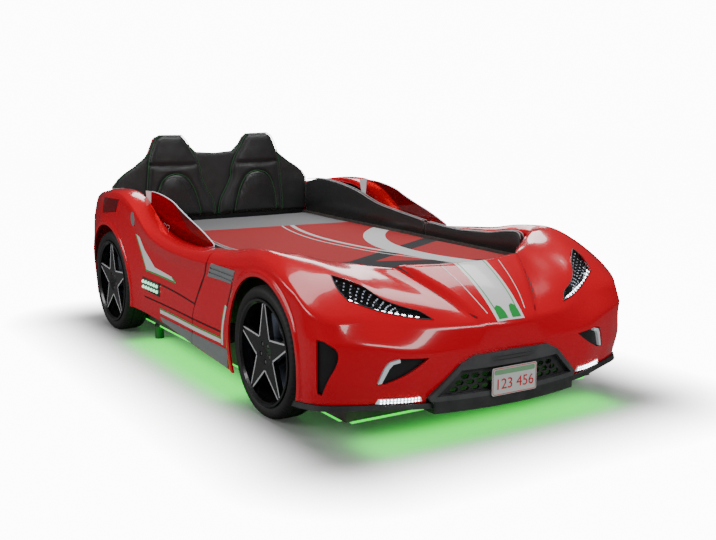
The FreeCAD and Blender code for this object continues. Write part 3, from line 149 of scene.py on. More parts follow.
# Across the lip, as shares of its width: its height as a share of ARCH_LIP_PROUD, and its mesh rings.
ARCH_LIP_SHAPE = ((-0.01, 0.0, 0.1, 0.2, 0.8, 0.9, 1.0), (0.0, 0.7, 0.92, 1.0, 1.0, 0.6, 0.0))
ARCH_LIP_RINGS = (0.06, 0.14, 0.22, 0.5, 0.78, 0.86, 0.94, 1.05)
ARCH_LIP_CLEAR = 1.2
ARCH_STEP = 0.007
BOARD_OUTER = 0.484
FLANK = 0.6

# How finely outlines, skins, cords and lamp dots are divided.
OUTLINE_STEP = 0.006
MESH_STEP = 0.011
MESH_CLEAR = 0.45
CORD_SIDES = 8
DOT_SIDES = 8


def placed(x: float, y: float, z: float) -> Place:
    """A drawn point in millimetres as a point of the frame in metres."""
    return x * MM, float(np.interp(y, DRAWN_ALONG, PLACED_ALONG)) * MM, z * MM


def drawn(points: Points) -> Array:
    """Drawn points in millimetres as rows of the frame in metres."""
    return np.array([placed(*point) for point in points])


# ---- shader groups
class NodeBench:
    """Places and wires shader nodes in one tree."""

    def __init__(self, tree: bpy.types.NodeTree) -> None:
        """Keep the tree that the nodes go into."""
        self.tree = tree

    def add(self, kind: str, **settings: object) -> Node:
        """Add one node.

        Args:
            kind: the node's type name.
            settings: attributes to set on it.

        Returns:
            The new node.
        """
        node = self.tree.nodes.new(kind)
        for key, value in settings.items():
            setattr(node, key, value)
        return node

    def join(self, source: Socket, target: Socket) -> None:
        """Link an output to an input."""
        self.tree.links.new(source, target)

    def math(self, operation: str, a: object, b: object = None, clamp: bool = False) -> Socket:
        """A Math node on sockets or numbers.

        Args:
            operation: the Math node's operation.
            a: first socket or number.
            b: second socket or number, if the operation has one.
            clamp: whether the result is kept between 0 and 1.

        Returns:
            The result's socket.
        """
        node = self.add("ShaderNodeMath", operation=operation, use_clamp=clamp)
        for slot, value in enumerate((a, b)):
            if value is None:
                continue
            if isinstance(value, (int, float)):
                node.inputs[slot].default_value = value
            else:
                self.join(value, node.inputs[slot])
        return node.outputs[0]

    def mix(self, factor: object, a: object, b: object) -> Socket:
        """A colour mix of two colours or sockets.

        Args:
            factor: share of the second, a socket or number.
            a: first colour or socket.
            b: second colour or socket.

        Returns:
            The mixed colour's socket.
        """
        node = self.add("ShaderNodeMix", data_type="RGBA")
        for socket, value in ((node.inputs[0], factor), (node.inputs[6], a), (node.inputs[7], b)):
            if isinstance(value, Socket):
                self.join(value, socket)
            elif isinstance(value, (int, float)):
                socket.default_value = value
            else:
                socket.default_value = (*value, 1.0)
        return node.outputs[2]

    def noise(self, place: Socket, scale: float, detail: float = 2.0) -> Socket:
        """The value of a noise texture.

        Args:
            place: where it is read.
            scale: how fine it is.
            detail: how many finer layers it has.

        Returns:
            The value's socket.
        """
        cloud = self.add("ShaderNodeTexNoise")
        cloud.inputs["Scale"].default_value = scale
        cloud.inputs["Detail"].default_value = detail
        self.join(place, cloud.inputs["Vector"])
        return cloud.outputs["Fac"]

    def axes(self, place: Socket) -> tuple[Socket, Socket, Socket]:
        """The three numbers of a vector.

        Args:
            place: the vector's socket.

        Returns:
            The sockets of X, Y and Z.
        """
        split = self.add("ShaderNodeSeparateXYZ")
        self.join(place, split.inputs[0])
        return split.outputs["X"], split.outputs["Y"], split.outputs["Z"]

    def stretched(self, place: Socket, scale: Place) -> Socket:
        """A vector stretched along each axis.

        Args:
            place: the vector's socket.
            scale: the stretch along X, Y and Z.

        Returns:
            The stretched vector's socket.
        """
        stretch = self.add("ShaderNodeMapping")
        stretch.inputs["Scale"].default_value = scale
        self.join(place, stretch.inputs["Vector"])
        return stretch.outputs["Vector"]


class Grain(Enum):
    """The small relief that a finish carries."""

    MOULDED = "moulded"
    LEATHER = "leather"
    WEAVE = "weave"
    BRUSHED = "brushed"
    RUBBER = "rubber"
    TIMBER = "timber"


class GroupShelf:
    """Builds each shared shader group once and hands it out by name."""

    def __init__(self) -> None:
        """Start with no groups."""
        self.made: dict[str, Tree] = {}

    def _start(self, name: str, numbers: dict[str, float],
               results: tuple[str, ...]) -> tuple[NodeBench, Node, Node]:
        """Start a group that takes a position and some numbers.

        Args:
            name: the group's name.
            numbers: its number inputs with their usual values.
            results: the names of its outputs.

        Returns:
            A bench for its tree, its input node and its output node.
        """
        tree = bpy.data.node_groups.new(name, "ShaderNodeTree")
        tree.interface.new_socket("Position", in_out="INPUT", socket_type="NodeSocketVector")
        for label, value in numbers.items():
            socket = tree.interface.new_socket(label, in_out="INPUT", socket_type="NodeSocketFloat")
            socket.default_value = value
        for label in results:
            tree.interface.new_socket(label, in_out="OUTPUT", socket_type="NodeSocketFloat")
        self.made[name] = tree
        bench = NodeBench(tree)
        return bench, bench.add("NodeGroupInput"), bench.add("NodeGroupOutput")

    def grain(self, kind: Grain) -> Tree:
        """The relief of one kind of grain, with outputs Height and Tone.

        Args:
            kind: the grain.

        Returns:
            The group's tree.
        """
        name = "grain_" + kind.value
        if name not in self.made:
            bench, source, sink = self._start(name, {"Scale": 1.0}, ("Height", "Tone"))
            scaled = bench.add("ShaderNodeVectorMath", operation="SCALE")
            bench.join(source.outputs["Position"], scaled.inputs[0])
            bench.join(source.outputs["Scale"], scaled.inputs["Scale"])
            height, tone = self._pattern(kind, bench, scaled.outputs[0])
            bench.join(height, sink.inputs["Height"])
            bench.join(tone, sink.inputs["Tone"])
        return self.made[name]

    def _pattern(self, kind: Grain, bench: NodeBench, place: Socket) -> tuple[Socket, Socket]:
        """The pattern of one grain.

        Args:
            kind: the grain.
            bench: the bench of its group.
            place: the scaled place's socket.

        Returns:
            The sockets of its height and its tone.
        """
        tone = bench.noise(place, 3.0, 4.0)
        if kind is Grain.WEAVE:
            return bench.math("MULTIPLY", *(self._threads(bench, place, run) for run in ("X", "Y"))), tone
        if kind is Grain.LEATHER:
            cells = bench.add("ShaderNodeTexVoronoi", feature="DISTANCE_TO_EDGE")
            cells.inputs["Scale"].default_value = 420.0
            bench.join(place, cells.inputs["Vector"])
            return bench.math("MULTIPLY", cells.outputs["Distance"], 2.4, clamp=True), tone
        if kind is Grain.BRUSHED:
            return bench.noise(bench.stretched(place, (6.0, 1.0, 90.0)), 14.0), tone
        if kind is Grain.TIMBER:
            rings = bench.noise(bench.stretched(place, (1.2, 18.0, 18.0)), 2.0, 6.0)
            return rings, rings
        return bench.noise(place, 900.0 if kind is Grain.RUBBER else 60.0, 3.0), tone

    def _threads(self, bench: NodeBench, place: Socket, run: str) -> Socket:
        """The threads of a weave that follow each other along one axis.

        Args:
            bench: the bench of the weave's group.
            place: the scaled place's socket.
            run: the axis, "X" or "Y".

        Returns:
            The socket of their height.
        """
        wave = bench.add("ShaderNodeTexWave", bands_direction=run, wave_profile="SIN")
        for label, value in (("Scale", 300.0), ("Distortion", 0.6), ("Detail", 1.0)):
            wave.inputs[label].default_value = value
        bench.join(place, wave.inputs["Vector"])
        return wave.outputs["Fac"]

    def edge_wear(self) -> Tree:
        """The group that finds rubbed edges, with inputs Start and Spread and output Mask.

        Returns:
            The group's tree.
        """
        if "edge_wear" not in self.made:
            bench, source, sink = self._start("edge_wear", {"Start": 0.53, "Spread": 0.08}, ("Mask",))
            shape = bench.add("ShaderNodeNewGeometry")
            over = bench.math("SUBTRACT", shape.outputs["Pointiness"], source.outputs["Start"])
            mask = bench.math("DIVIDE", over, source.outputs["Spread"], clamp=True)
            patches = bench.noise(source.outputs["Position"], 25.0)
            bench.join(bench.math("MULTIPLY", mask, patches, clamp=True), sink.inputs["Mask"])
        return self.made["edge_wear"]

    def dust(self) -> Tree:
        """The group for faint dust on faces that look up, with input Amount and output Mask.

        Returns:
            The group's tree.
        """
        if "dust" not in self.made:
            bench, source, sink = self._start("dust", {"Amount": 0.1}, ("Mask",))
            _, _, rise = bench.axes(bench.add("ShaderNodeNewGeometry").outputs["Normal"])
            specks = bench.noise(source.outputs["Position"], 8.0, 8.0)
            settled = bench.math("MULTIPLY", bench.math("MAXIMUM", rise, 0.0), specks)
            bench.join(bench.math("MULTIPLY", settled, source.outputs["Amount"], clamp=True),
                       sink.inputs["Mask"])
        return self.made["dust"]


SHELF = GroupShelf()
DUST_COLOUR = (0.6, 0.58, 0.55)


@dataclass(frozen=True)
class Finish:
    """One surface finish, made as a procedural material."""

    name: str
    colour: Colour
    second: Colour
    grain: Grain = Grain.MOULDED
    roughness: float = 0.4
    roughness_swing: float = 0.08
    bump: float = 0.1
    bump_distance: float = 0.0004
    scale: float = 1.0
    metallic: float = 0.0
    coat: float = 0.0
    coat_roughness: float = 0.03
    sheen: float = 0.0
    specular: float = 0.5
    transmission: float = 0.0
    alpha: float = 1.0
    glow: float = 0.0
    glow_colour: Colour = (1.0, 1.0, 1.0)
    worn: Colour | None = None
    dust: float = 0.0

    def material(self) -> bpy.types.Material:
        """The material, made once and then found by its name."""
        found = bpy.data.materials.get(self.name)
        return found if found else self._make()

    def _group(self, bench: NodeBench, tree: Tree, place: Socket, **values: float) -> Node:
        """Place a shared group in the material.

        Args:
            bench: the material's bench.
            tree: the group's tree.
            place: the socket of the position that it reads.
            values: this material's own values, by input name.

        Returns:
            The group's node.
        """
        node = bench.add("ShaderNodeGroup", node_tree=tree)
        bench.join(place, node.inputs["Position"])
        for label, value in values.items():
            node.inputs[label].default_value = value
        return node

    def _make(self) -> bpy.types.Material:
        """Build the material's node tree.

        Returns:
            The new material.
        """
        material = bpy.data.materials.new(self.name)
        material.use_nodes = True
        bench = NodeBench(material.node_tree)
        shader = material.node_tree.nodes["Principled BSDF"]
        place = bench.add("ShaderNodeTexCoord").outputs["Object"]
        grain = self._group(bench, SHELF.grain(self.grain), place, Scale=self.scale)
        colour = self.paint(bench, place, grain.outputs["Tone"])
        if self.worn:
            wear = self._group(bench, SHELF.edge_wear(), place)
            colour = bench.mix(wear.outputs["Mask"], colour, self.worn)
        if self.dust:
            veil = self._group(bench, SHELF.dust(), place, Amount=self.dust)
            colour = bench.mix(veil.outputs["Mask"], colour, DUST_COLOUR)
        bench.join(colour, shader.inputs["Base Color"])
        swing = bench.math("MULTIPLY", grain.outputs["Tone"], self.roughness_swing)
        bench.join(bench.math("ADD", swing, self.roughness - self.roughness_swing / 2, clamp=True),
                   shader.inputs["Roughness"])
        relief = bench.add("ShaderNodeBump")
        relief.inputs["Strength"].default_value = self.bump
        relief.inputs["Distance"].default_value = self.bump_distance
        bench.join(grain.outputs["Height"], relief.inputs["Height"])
        bench.join(relief.outputs["Normal"], shader.inputs["Normal"])
        for label, value in (("Metallic", self.metallic), ("Coat Weight", self.coat),
                             ("Coat Roughness", self.coat_roughness), ("Sheen Weight", self.sheen),
                             ("Specular IOR Level", self.specular), ("Alpha", self.alpha),
                             ("Transmission Weight", self.transmission), ("Emission Strength", self.glow)):
            shader.inputs[label].default_value = value
        shader.inputs["Emission Color"].default_value = (*self.glow_colour, 1.0)
        return material

    def paint(self, bench: NodeBench, place: Socket, tone: Socket) -> Socket:
        """The colour: the finish's two colours mixed by its tone."""
        return bench.mix(tone, self.colour, self.second)


@dataclass(frozen=True)
class RimmedFinish(Finish):
    """A board that is painted in its second colour above a height."""

    above: float = 0.44

    def paint(self, bench: NodeBench, place: Socket, tone: Socket) -> Socket:
        """The first colour below the height and the second above it."""
        _, _, height = bench.axes(place)
        return bench.mix(bench.math("GREATER_THAN", height, self.above), self.colour, self.second)


@dataclass(frozen=True)
class FloorFinish(Finish):
    """A plain floor that gloss mirrors darker than the camera sees it."""

    def paint(self, bench: NodeBench, place: Socket, tone: Socket) -> Socket:
        """The first colour, and the second one where it is mirrored."""
        path = bench.add("ShaderNodeLightPath")
        return bench.mix(path.outputs["Is Glossy Ray"], self.colour, self.second)


RED_BODY = Finish("red_body_gloss", (0.60, 0.0, 0.010), (0.64, 0.0, 0.013), roughness=0.20,
                  roughness_swing=0.04, bump=0.02, coat=0.7, coat_roughness=0.02, specular=0.35)
# Painted shade: flat dark ribbons laid over the panel grooves stand in for the shade inside them.
SEAM_PAINTED_SHADE = Finish("panel_seam_shadow", (0.035, 0.001, 0.002), (0.05, 0.002, 0.003), roughness=0.5)
BLACK_TRIM = Finish("black_trim_satin", (0.012, 0.012, 0.013), (0.020, 0.020, 0.022), roughness=0.42,
                    bump=0.15, bump_distance=0.0003, scale=6.0, worn=(0.05, 0.05, 0.052))
GREY_TRIM = Finish("charcoal_trim_satin", (0.038, 0.039, 0.042), (0.052, 0.053, 0.056), roughness=0.38,
                   bump=0.18, bump_distance=0.0003, scale=6.0, worn=(0.09, 0.09, 0.095))
LEATHER = Finish("black_faux_leather", (0.010, 0.011, 0.011), (0.018, 0.019, 0.019), Grain.LEATHER,
                 bump=0.35, sheen=0.08, worn=(0.035, 0.036, 0.037))
LEATHER_PANEL = Finish("black_faux_leather_inset", (0.012, 0.013, 0.013), (0.022, 0.023, 0.023),
                       Grain.LEATHER, roughness=0.27, bump=0.30, sheen=0.05)
GREEN_PIPING = Finish("green_piping_cord", (0.010, 0.075, 0.018), (0.015, 0.10, 0.026), Grain.WEAVE,
                      roughness=0.6, bump=0.5, scale=3.0)
GREY_PIPING = Finish("grey_piping_cord", (0.30, 0.31, 0.32), (0.40, 0.41, 0.42), Grain.WEAVE, roughness=0.6,
                     bump=0.5, scale=3.0)
RUBBER = Finish("tyre_rubber_satin", (0.012, 0.012, 0.012), (0.022, 0.022, 0.022), Grain.RUBBER,
                roughness=0.62, bump=0.35, bump_distance=0.0003, worn=(0.05, 0.05, 0.05), dust=0.05)
RIM_DARK = Finish("rim_dark_lacquer", (0.008, 0.008, 0.009), (0.014, 0.014, 0.016), roughness=0.24,
                  bump=0.05, coat=0.4)
RIM_BRIGHT = Finish("rim_turned_face", (0.62, 0.63, 0.65), (0.74, 0.75, 0.77), Grain.BRUSHED,
                    roughness=0.32, bump=0.08, bump_distance=0.0002, metallic=0.35)
BRAKE_STEEL = Finish("brake_turned_steel", (0.10, 0.12, 0.17), (0.20, 0.23, 0.30), Grain.BRUSHED,
                     roughness=0.30, bump=0.2, bump_distance=0.0002, metallic=0.5)
CALIPER_GREY = Finish("caliper_cast_grey", (0.10, 0.10, 0.11), (0.16, 0.16, 0.17), roughness=0.45, bump=0.3,
                      metallic=0.5, worn=(0.3, 0.3, 0.31))
WHITE_FILM = Finish("white_decal_film", (0.72, 0.72, 0.72), (0.80, 0.80, 0.80), roughness=0.22, bump=0.02,
                    coat=0.4)
GREEN_FILM = Finish("green_decal_film", (0.02, 0.28, 0.05), (0.03, 0.36, 0.07), roughness=0.25, bump=0.02,
                    coat=0.4)
SILVER_TRIM = Finish("silver_grey_lacquer", (0.20, 0.21, 0.22), (0.27, 0.28, 0.29), Grain.BRUSHED,
                     roughness=0.3, bump=0.05, metallic=0.2, coat=0.4)
WHITE_GLOW = Finish("cool_white_light", (0.9, 0.93, 1.0), (1.0, 1.0, 1.0), roughness=0.3, glow=9.0,
                    glow_colour=(0.92, 0.96, 1.0))
# Glow of the lamp diffusers, also used on the window edge cords, where it is a painted highlight.
LAMP_GLOW_AND_PAINTED_HIGHLIGHT = Finish("cool_white_diffuser", (0.62, 0.66, 0.74), (0.72, 0.76, 0.82), roughness=0.3, glow=0.25,
                   glow_colour=(0.8, 0.88, 1.0))
WHITE_TRIM = Finish("white_strip_lacquer", (0.55, 0.58, 0.62), (0.65, 0.68, 0.72), roughness=0.25, coat=0.4,
                    glow=0.15, glow_colour=(0.85, 0.92, 1.0))
GREEN_GLOW = Finish("green_light_diffuser", (0.05, 0.9, 0.12), (0.08, 1.0, 0.16), roughness=0.3, glow=1.1,
                    glow_colour=(0.0, 1.0, 0.04))
GREEN_LAMP = Finish("green_panel_lamp", (0.25, 0.6, 0.35), (0.3, 0.7, 0.4), roughness=0.3, glow=1.5,
                    glow_colour=(0.45, 1.0, 0.65))
LAMP_BLACK = Finish("lamp_reflector_black", (0.006, 0.006, 0.007), (0.012, 0.012, 0.013), roughness=0.15,
                    bump=0.05, coat=0.5)
LENS_CLEAR = Finish("lamp_cover_clear", (0.9, 0.92, 0.95), (0.95, 0.96, 0.98), roughness=0.0,
                    roughness_swing=0.0, bump=0.0, transmission=1.0)
LENS_RED = Finish("tail_lamp_red", (0.10, 0.004, 0.006), (0.20, 0.006, 0.010), roughness=0.08, bump=0.02,
                  coat=0.8)
ACRYLIC = Finish("red_tinted_acrylic", (0.55, 0.004, 0.012), (0.60, 0.006, 0.016), roughness=0.04,
                 roughness_swing=0.01, bump=0.0, transmission=0.85)
BOARD = Finish("charcoal_board", (0.030, 0.030, 0.033), (0.045, 0.045, 0.048), Grain.TIMBER, roughness=0.45,
               bump=0.1, worn=(0.12, 0.10, 0.08))
RED_BOARD = RimmedFinish("red_lacquered_board", (0.030, 0.030, 0.033), (0.56, 0.0, 0.010), Grain.TIMBER,
                         roughness=0.22, bump=0.04, coat=0.4)
SLAT = Finish("lacquered_beech", (0.62, 0.42, 0.24), (0.74, 0.55, 0.35), Grain.TIMBER, bump=0.15)
PLATED = Finish("zinc_plated_steel", (0.5, 0.5, 0.5), (0.62, 0.62, 0.62), Grain.BRUSHED, roughness=0.3,
                bump=0.1, metallic=1.0)
KNIT = Finish("mattress_knit", (0.72, 0.72, 0.70), (0.80, 0.80, 0.78), Grain.WEAVE, roughness=0.85,
              bump=0.4, sheen=0.2)
PLATE_GREEN = Finish("plate_band_green", (0.16, 0.34, 0.18), (0.20, 0.40, 0.22), roughness=0.3, coat=0.3)
PLATE_FACE = Finish("plate_face", (0.55, 0.56, 0.55), (0.62, 0.63, 0.62), roughness=0.3, coat=0.3)
PLATE_INK = Finish("plate_red_ink", (0.50, 0.02, 0.03), (0.58, 0.03, 0.04), roughness=0.35)
FLOOR = FloorFinish("studio_floor", (0.40, 0.40, 0.40), (0.10, 0.10, 0.10), roughness=0.6, bump=0.0)


# ---- meshes
def new_piece(name: str, points: Array, faces: Faces, finish: Finish, body: str = "bed",
              smooth: bool = True) -> Piece:
    """Make a mesh piece that rides on a body.

    Args:
        name: the piece's name.
        points: vertices in metres, one row each.
        faces: vertex numbers of each face.
        finish: the finish of all its faces.
        body: the body that it moves with.
        smooth: whether faces are shaded smooth.

    Returns:
        The new object.
    """
    mesh = bpy.data.meshes.new(name)
    mesh.from_pydata([tuple(map(float, point)) for point in points], [], faces)
    if smooth:
        mesh.shade_smooth()
    mesh.materials.append(finish.material())
    return into_scene(name, mesh, body)


def into_scene(name: str, mesh: bpy.types.Mesh, body: str) -> Piece:
    """Put a mesh into the scene as a piece that rides on a body.

    Args:
        name: the piece's name.
        mesh: its mesh.
        body: the body that it moves with.

    Returns:
        The new object.
    """
    piece = bpy.data.objects.new(name, mesh)
    bpy.context.scene.collection.objects.link(piece)
    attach(piece, body)
    return piece


def both_sides(source: Piece) -> list[Piece]:
    """Give a piece named ..._right its twin named ..._left on the other side of the bed.

    Args:
        source: the piece on the right.

    Returns:
        The piece and its twin.
    """
    name = source.name.replace("_right", "_left")
    mesh = source.data.copy()
    mesh.name = name
    bench = bmesh.new()
    bench.from_mesh(mesh)
    for vertex in bench.verts:
        vertex.co.x = -vertex.co.x
    bmesh.ops.reverse_faces(bench, faces=bench.faces)
    bench.to_mesh(mesh)
    bench.free()
    return [source, into_scene(name, mesh, "bed")]


def grid_faces(rows: int, columns: int, rows_closed: bool = False, columns_closed: bool = True,
               flipped: bool = False) -> Faces:
    """Four-sided faces between rows of points that are numbered in turn.

    Args:
        rows: number of rows.
        columns: points in each row.
        rows_closed: whether the last row joins the first.
        columns_closed: whether each row's end joins its start.
        flipped: whether the faces look the other way.

    Returns:
        The faces.
    """
    faces = []
    for k in range(rows if rows_closed else rows - 1):
        here, there = k * columns, (k + 1) % rows * columns
        for j in range(columns if columns_closed else columns - 1):
            step = (j + 1) % columns
            if flipped:
                faces.append((here + j, there + j, there + step, here + step))
            else:
                faces.append((here + j, here + step, there + step, there + j))
    return faces


def end_caps(rows: int, columns: int) -> Faces:
    """The faces that close the first and the last of such rows."""
    return [tuple(range(columns))[::-1], tuple((rows - 1) * columns + j for j in range(columns))]


def add_block(points: list[Array], faces: Faces, foot: list[Array], top: list[Array],
              turned: bool = False) -> None:
    """Add a block that is open below.

    Args:
        points: the points to add to.
        faces: the faces to add to.
        foot: its four lower corners in turn.
        top: its four upper corners in the same order.
        turned: whether the upper face looks the other way.
    """
    first = len(points)
    points.extend([*foot, *top])
    lid = range(7, 3, -1) if turned else range(4, 8)
    faces.append(tuple(first + j for j in lid))
    faces.extend(tuple(first + j for j in face) for face in grid_faces(2, 4))


def tube(name: str, path: Array, radius: float, finish: Finish, closed: bool = False,
         body: str = "bed") -> Piece:
    """A round cord along a path.

    Args:
        name: the piece's name.
        path: centre points in metres.
        radius: the cord's radius.
        finish: its finish.
        closed: whether its end joins its start.
        body: the body that it moves with.

    Returns:
        The new object.
    """
    if closed:
        ahead = np.roll(path, -1, axis=0) - np.roll(path, 1, axis=0)
    else:
        ahead = np.gradient(path, axis=0)
    ahead /= np.linalg.norm(ahead, axis=1)[:, None]
    flat = np.zeros(3)
    flat[int(np.argmin(np.ptp(path, axis=0)))] = 1.0
    side = np.cross(ahead, flat)
    side /= np.linalg.norm(side, axis=1)[:, None]
    up = np.cross(side, ahead)
    turns = np.arange(CORD_SIDES) * 2 * math.pi / CORD_SIDES
    ring = side[:, None] * np.cos(turns)[None, :, None] + up[:, None] * np.sin(turns)[None, :, None]
    points = (path[:, None] + ring * radius).reshape(-1, 3)
    faces = grid_faces(len(path), CORD_SIDES, rows_closed=closed)
    if not closed:
        faces += end_caps(len(path), CORD_SIDES)
    return new_piece(name, points, faces, finish, body)


def hermite(p0: Array, p1: Array, m0: Array, m1: Array, t: Array | float) -> Array:
    """Cubic between two points with their end slopes."""
    return ((2 * t ** 3 - 3 * t ** 2 + 1) * p0 + (t ** 3 - 2 * t ** 2 + t) * m0
            + (3 * t ** 2 - 2 * t ** 3) * p1 + (t ** 3 - t ** 2) * m1)


def smooth_path(corners: Array, step: float) -> Array:
    """Evenly spaced points on a smooth curve through corners.

    Args:
        corners: points that the curve passes through.
        step: distance between the points returned.

    Returns:
        The points.
    """
    corners = np.asarray(corners, dtype=float)
    ring = np.concatenate([2 * corners[:1] - corners[1:2], corners, 2 * corners[-1:] - corners[-2:-1]])
    found = []
    for k in range(1, len(ring) - 2):
        p0, p1, p2, p3 = ring[k - 1:k + 3]
        d0, d1, d2 = (math.sqrt(max(float(np.linalg.norm(b - a)), 1e-9)) for a, b in
                      ((p0, p1), (p1, p2), (p2, p3)))
        m1 = ((p1 - p0) / d0 - (p2 - p0) / (d0 + d1) + (p2 - p1) / d1) * d1
        m2 = ((p2 - p1) / d1 - (p3 - p1) / (d1 + d2) + (p3 - p2) / d2) * d1
        for t in np.linspace(0.0, 1.0, 12, endpoint=False):
            found.append(hermite(p1, p2, m1, m2, t))
    found.append(corners[-1])
    return even_path(np.array(found), step)


def even_path(points: Array, step: float, closed: bool = False) -> Array:
    """Points spaced evenly along a polyline.

    Args:
        points: the polyline, with its start repeated at the end where it is closed.
        step: distance between the points returned.
        closed: whether the last point is left out because it repeats the first.

    Returns:
        The points.
    """
    reach = np.concatenate([[0.0], np.cumsum(np.linalg.norm(np.diff(points, axis=0), axis=1))])
    count = max(int(round(reach[-1] / step)), 2)
    marks = np.linspace(0.0, reach[-1], count + 1)
    even = np.stack([np.interp(marks, reach, points[:, axis]) for axis in range(points.shape[1])], axis=1)
    return even[:-1] if closed else even


def outline_path(corners: Points, curves: Curves, step: float) -> Array:
    """A closed outline through corners, smooth along the spans named in curves.

    Args:
        corners: the outline's corners.
        curves: (first corner, number of spans) of each smooth stretch.
        step: distance between the points returned.

    Returns:
        The outline's points, without a repeated start.
    """
    places = np.array(corners, dtype=float)
    count = len(places)
    runs = dict(curves)
    pieces = []
    k = 0
    while k < count:
        run = runs.get(k, 1)
        span = places[[(k + j) % count for j in range(run + 1)]]
        pieces.append((smooth_path(span, step) if run > 1 else even_path(span, step))[:-1])
        k += run
    return np.concatenate(pieces)


def inside(points: Array, loop: Array) -> Array:
    """Which points of a plane lie inside a closed loop.

    Args:
        points: the points, one row each.
        loop: the loop's corners.

    Returns:
        A truth value per point.
    """
    hits = np.zeros(len(points), dtype=bool)
    x, y = points[:, 0], points[:, 1]
    for (x0, y0), (x1, y1) in zip(loop, np.roll(loop, -1, axis=0)):
        if y0 == y1:
            continue
        crosses = (y0 > y) != (y1 > y)
        hits ^= crosses & (x < (x1 - x0) * (y - y0) / (y1 - y0) + x0)
    return hits


def loop_distance(points: Array, loop: Array) -> Array:
    """Distance of points of a plane from a closed loop.

    Args:
        points: the points, one row each.
        loop: the loop's corners.

    Returns:
        A distance per point.
    """
    nearest = np.full(len(points), np.inf)
    for start, end in zip(loop, np.roll(loop, -1, axis=0)):
        run = end - start
        share = np.clip(((points - start) @ run) / max(float(run @ run), 1e-12), 0.0, 1.0)
        nearest = np.minimum(nearest, np.linalg.norm(points - start - share[:, None] * run, axis=1))
    return nearest


def plane_mesh(domain: Array, holes: list[Array], fill: Array, clear: float) -> tuple[Array, Array]:
    """Triangles that fill a domain of a plane around holes.

    Args:
        domain: the outer loop.
        holes: loops cut out of it, which may cross the outer one.
        fill: points wanted inside.
        clear: distance from the loops within which such points are dropped.

    Returns:
        The vertices and the triangles.
    """
    keep = inside(fill, domain) & (loop_distance(fill, domain) > clear)
    for hole in holes:
        low, high = hole.min(axis=0) - clear, hole.max(axis=0) + clear
        near = np.all((fill > low) & (fill < high), axis=1)
        drop = inside(fill[near], hole) | (loop_distance(fill[near], hole) < clear)
        keep[np.flatnonzero(near)[drop]] = False
    points = [Vector(point) for point in fill[keep]]
    edges = []
    for loop in [domain] + holes:
        first = len(points)
        points.extend(Vector(point) for point in loop)
        edges.extend((first + k, first + (k + 1) % len(loop)) for k in range(len(loop)))
    found = delaunay_2d_cdt(points, edges, [], 0, 1e-7)
    vertices = np.array([tuple(vertex) for vertex in found[0]])
    triangles = np.array([face for face in found[2] if len(face) == 3])
    middles = vertices[triangles].mean(axis=1)
    wanted = inside(middles, domain)
    for hole in holes:
        wanted &= ~inside(middles, hole)
    triangles = triangles[wanted]
    corners = vertices[triangles]
    area = np.cross(corners[:, 1] - corners[:, 0], corners[:, 2] - corners[:, 0])
    triangles = triangles[np.abs(area) > 1e-10]
    used, place = np.unique(triangles, return_inverse=True)
    return vertices[used], place.reshape(-1, 3)


def rim_edges(triangles: Array) -> list[tuple[int, int]]:
    """Edges that belong to one triangle only.

    Args:
        triangles: vertex numbers of each triangle.

    Returns:
        The edges, in their triangle's own direction.
    """
    seen: dict[tuple[int, int], int] = {}
    for a, b, c in triangles:
        for edge in ((a, b), (b, c), (c, a)):
            seen[edge] = seen.get(edge, 0) + 1
    return [edge for edge in seen if (edge[1], edge[0]) not in seen]


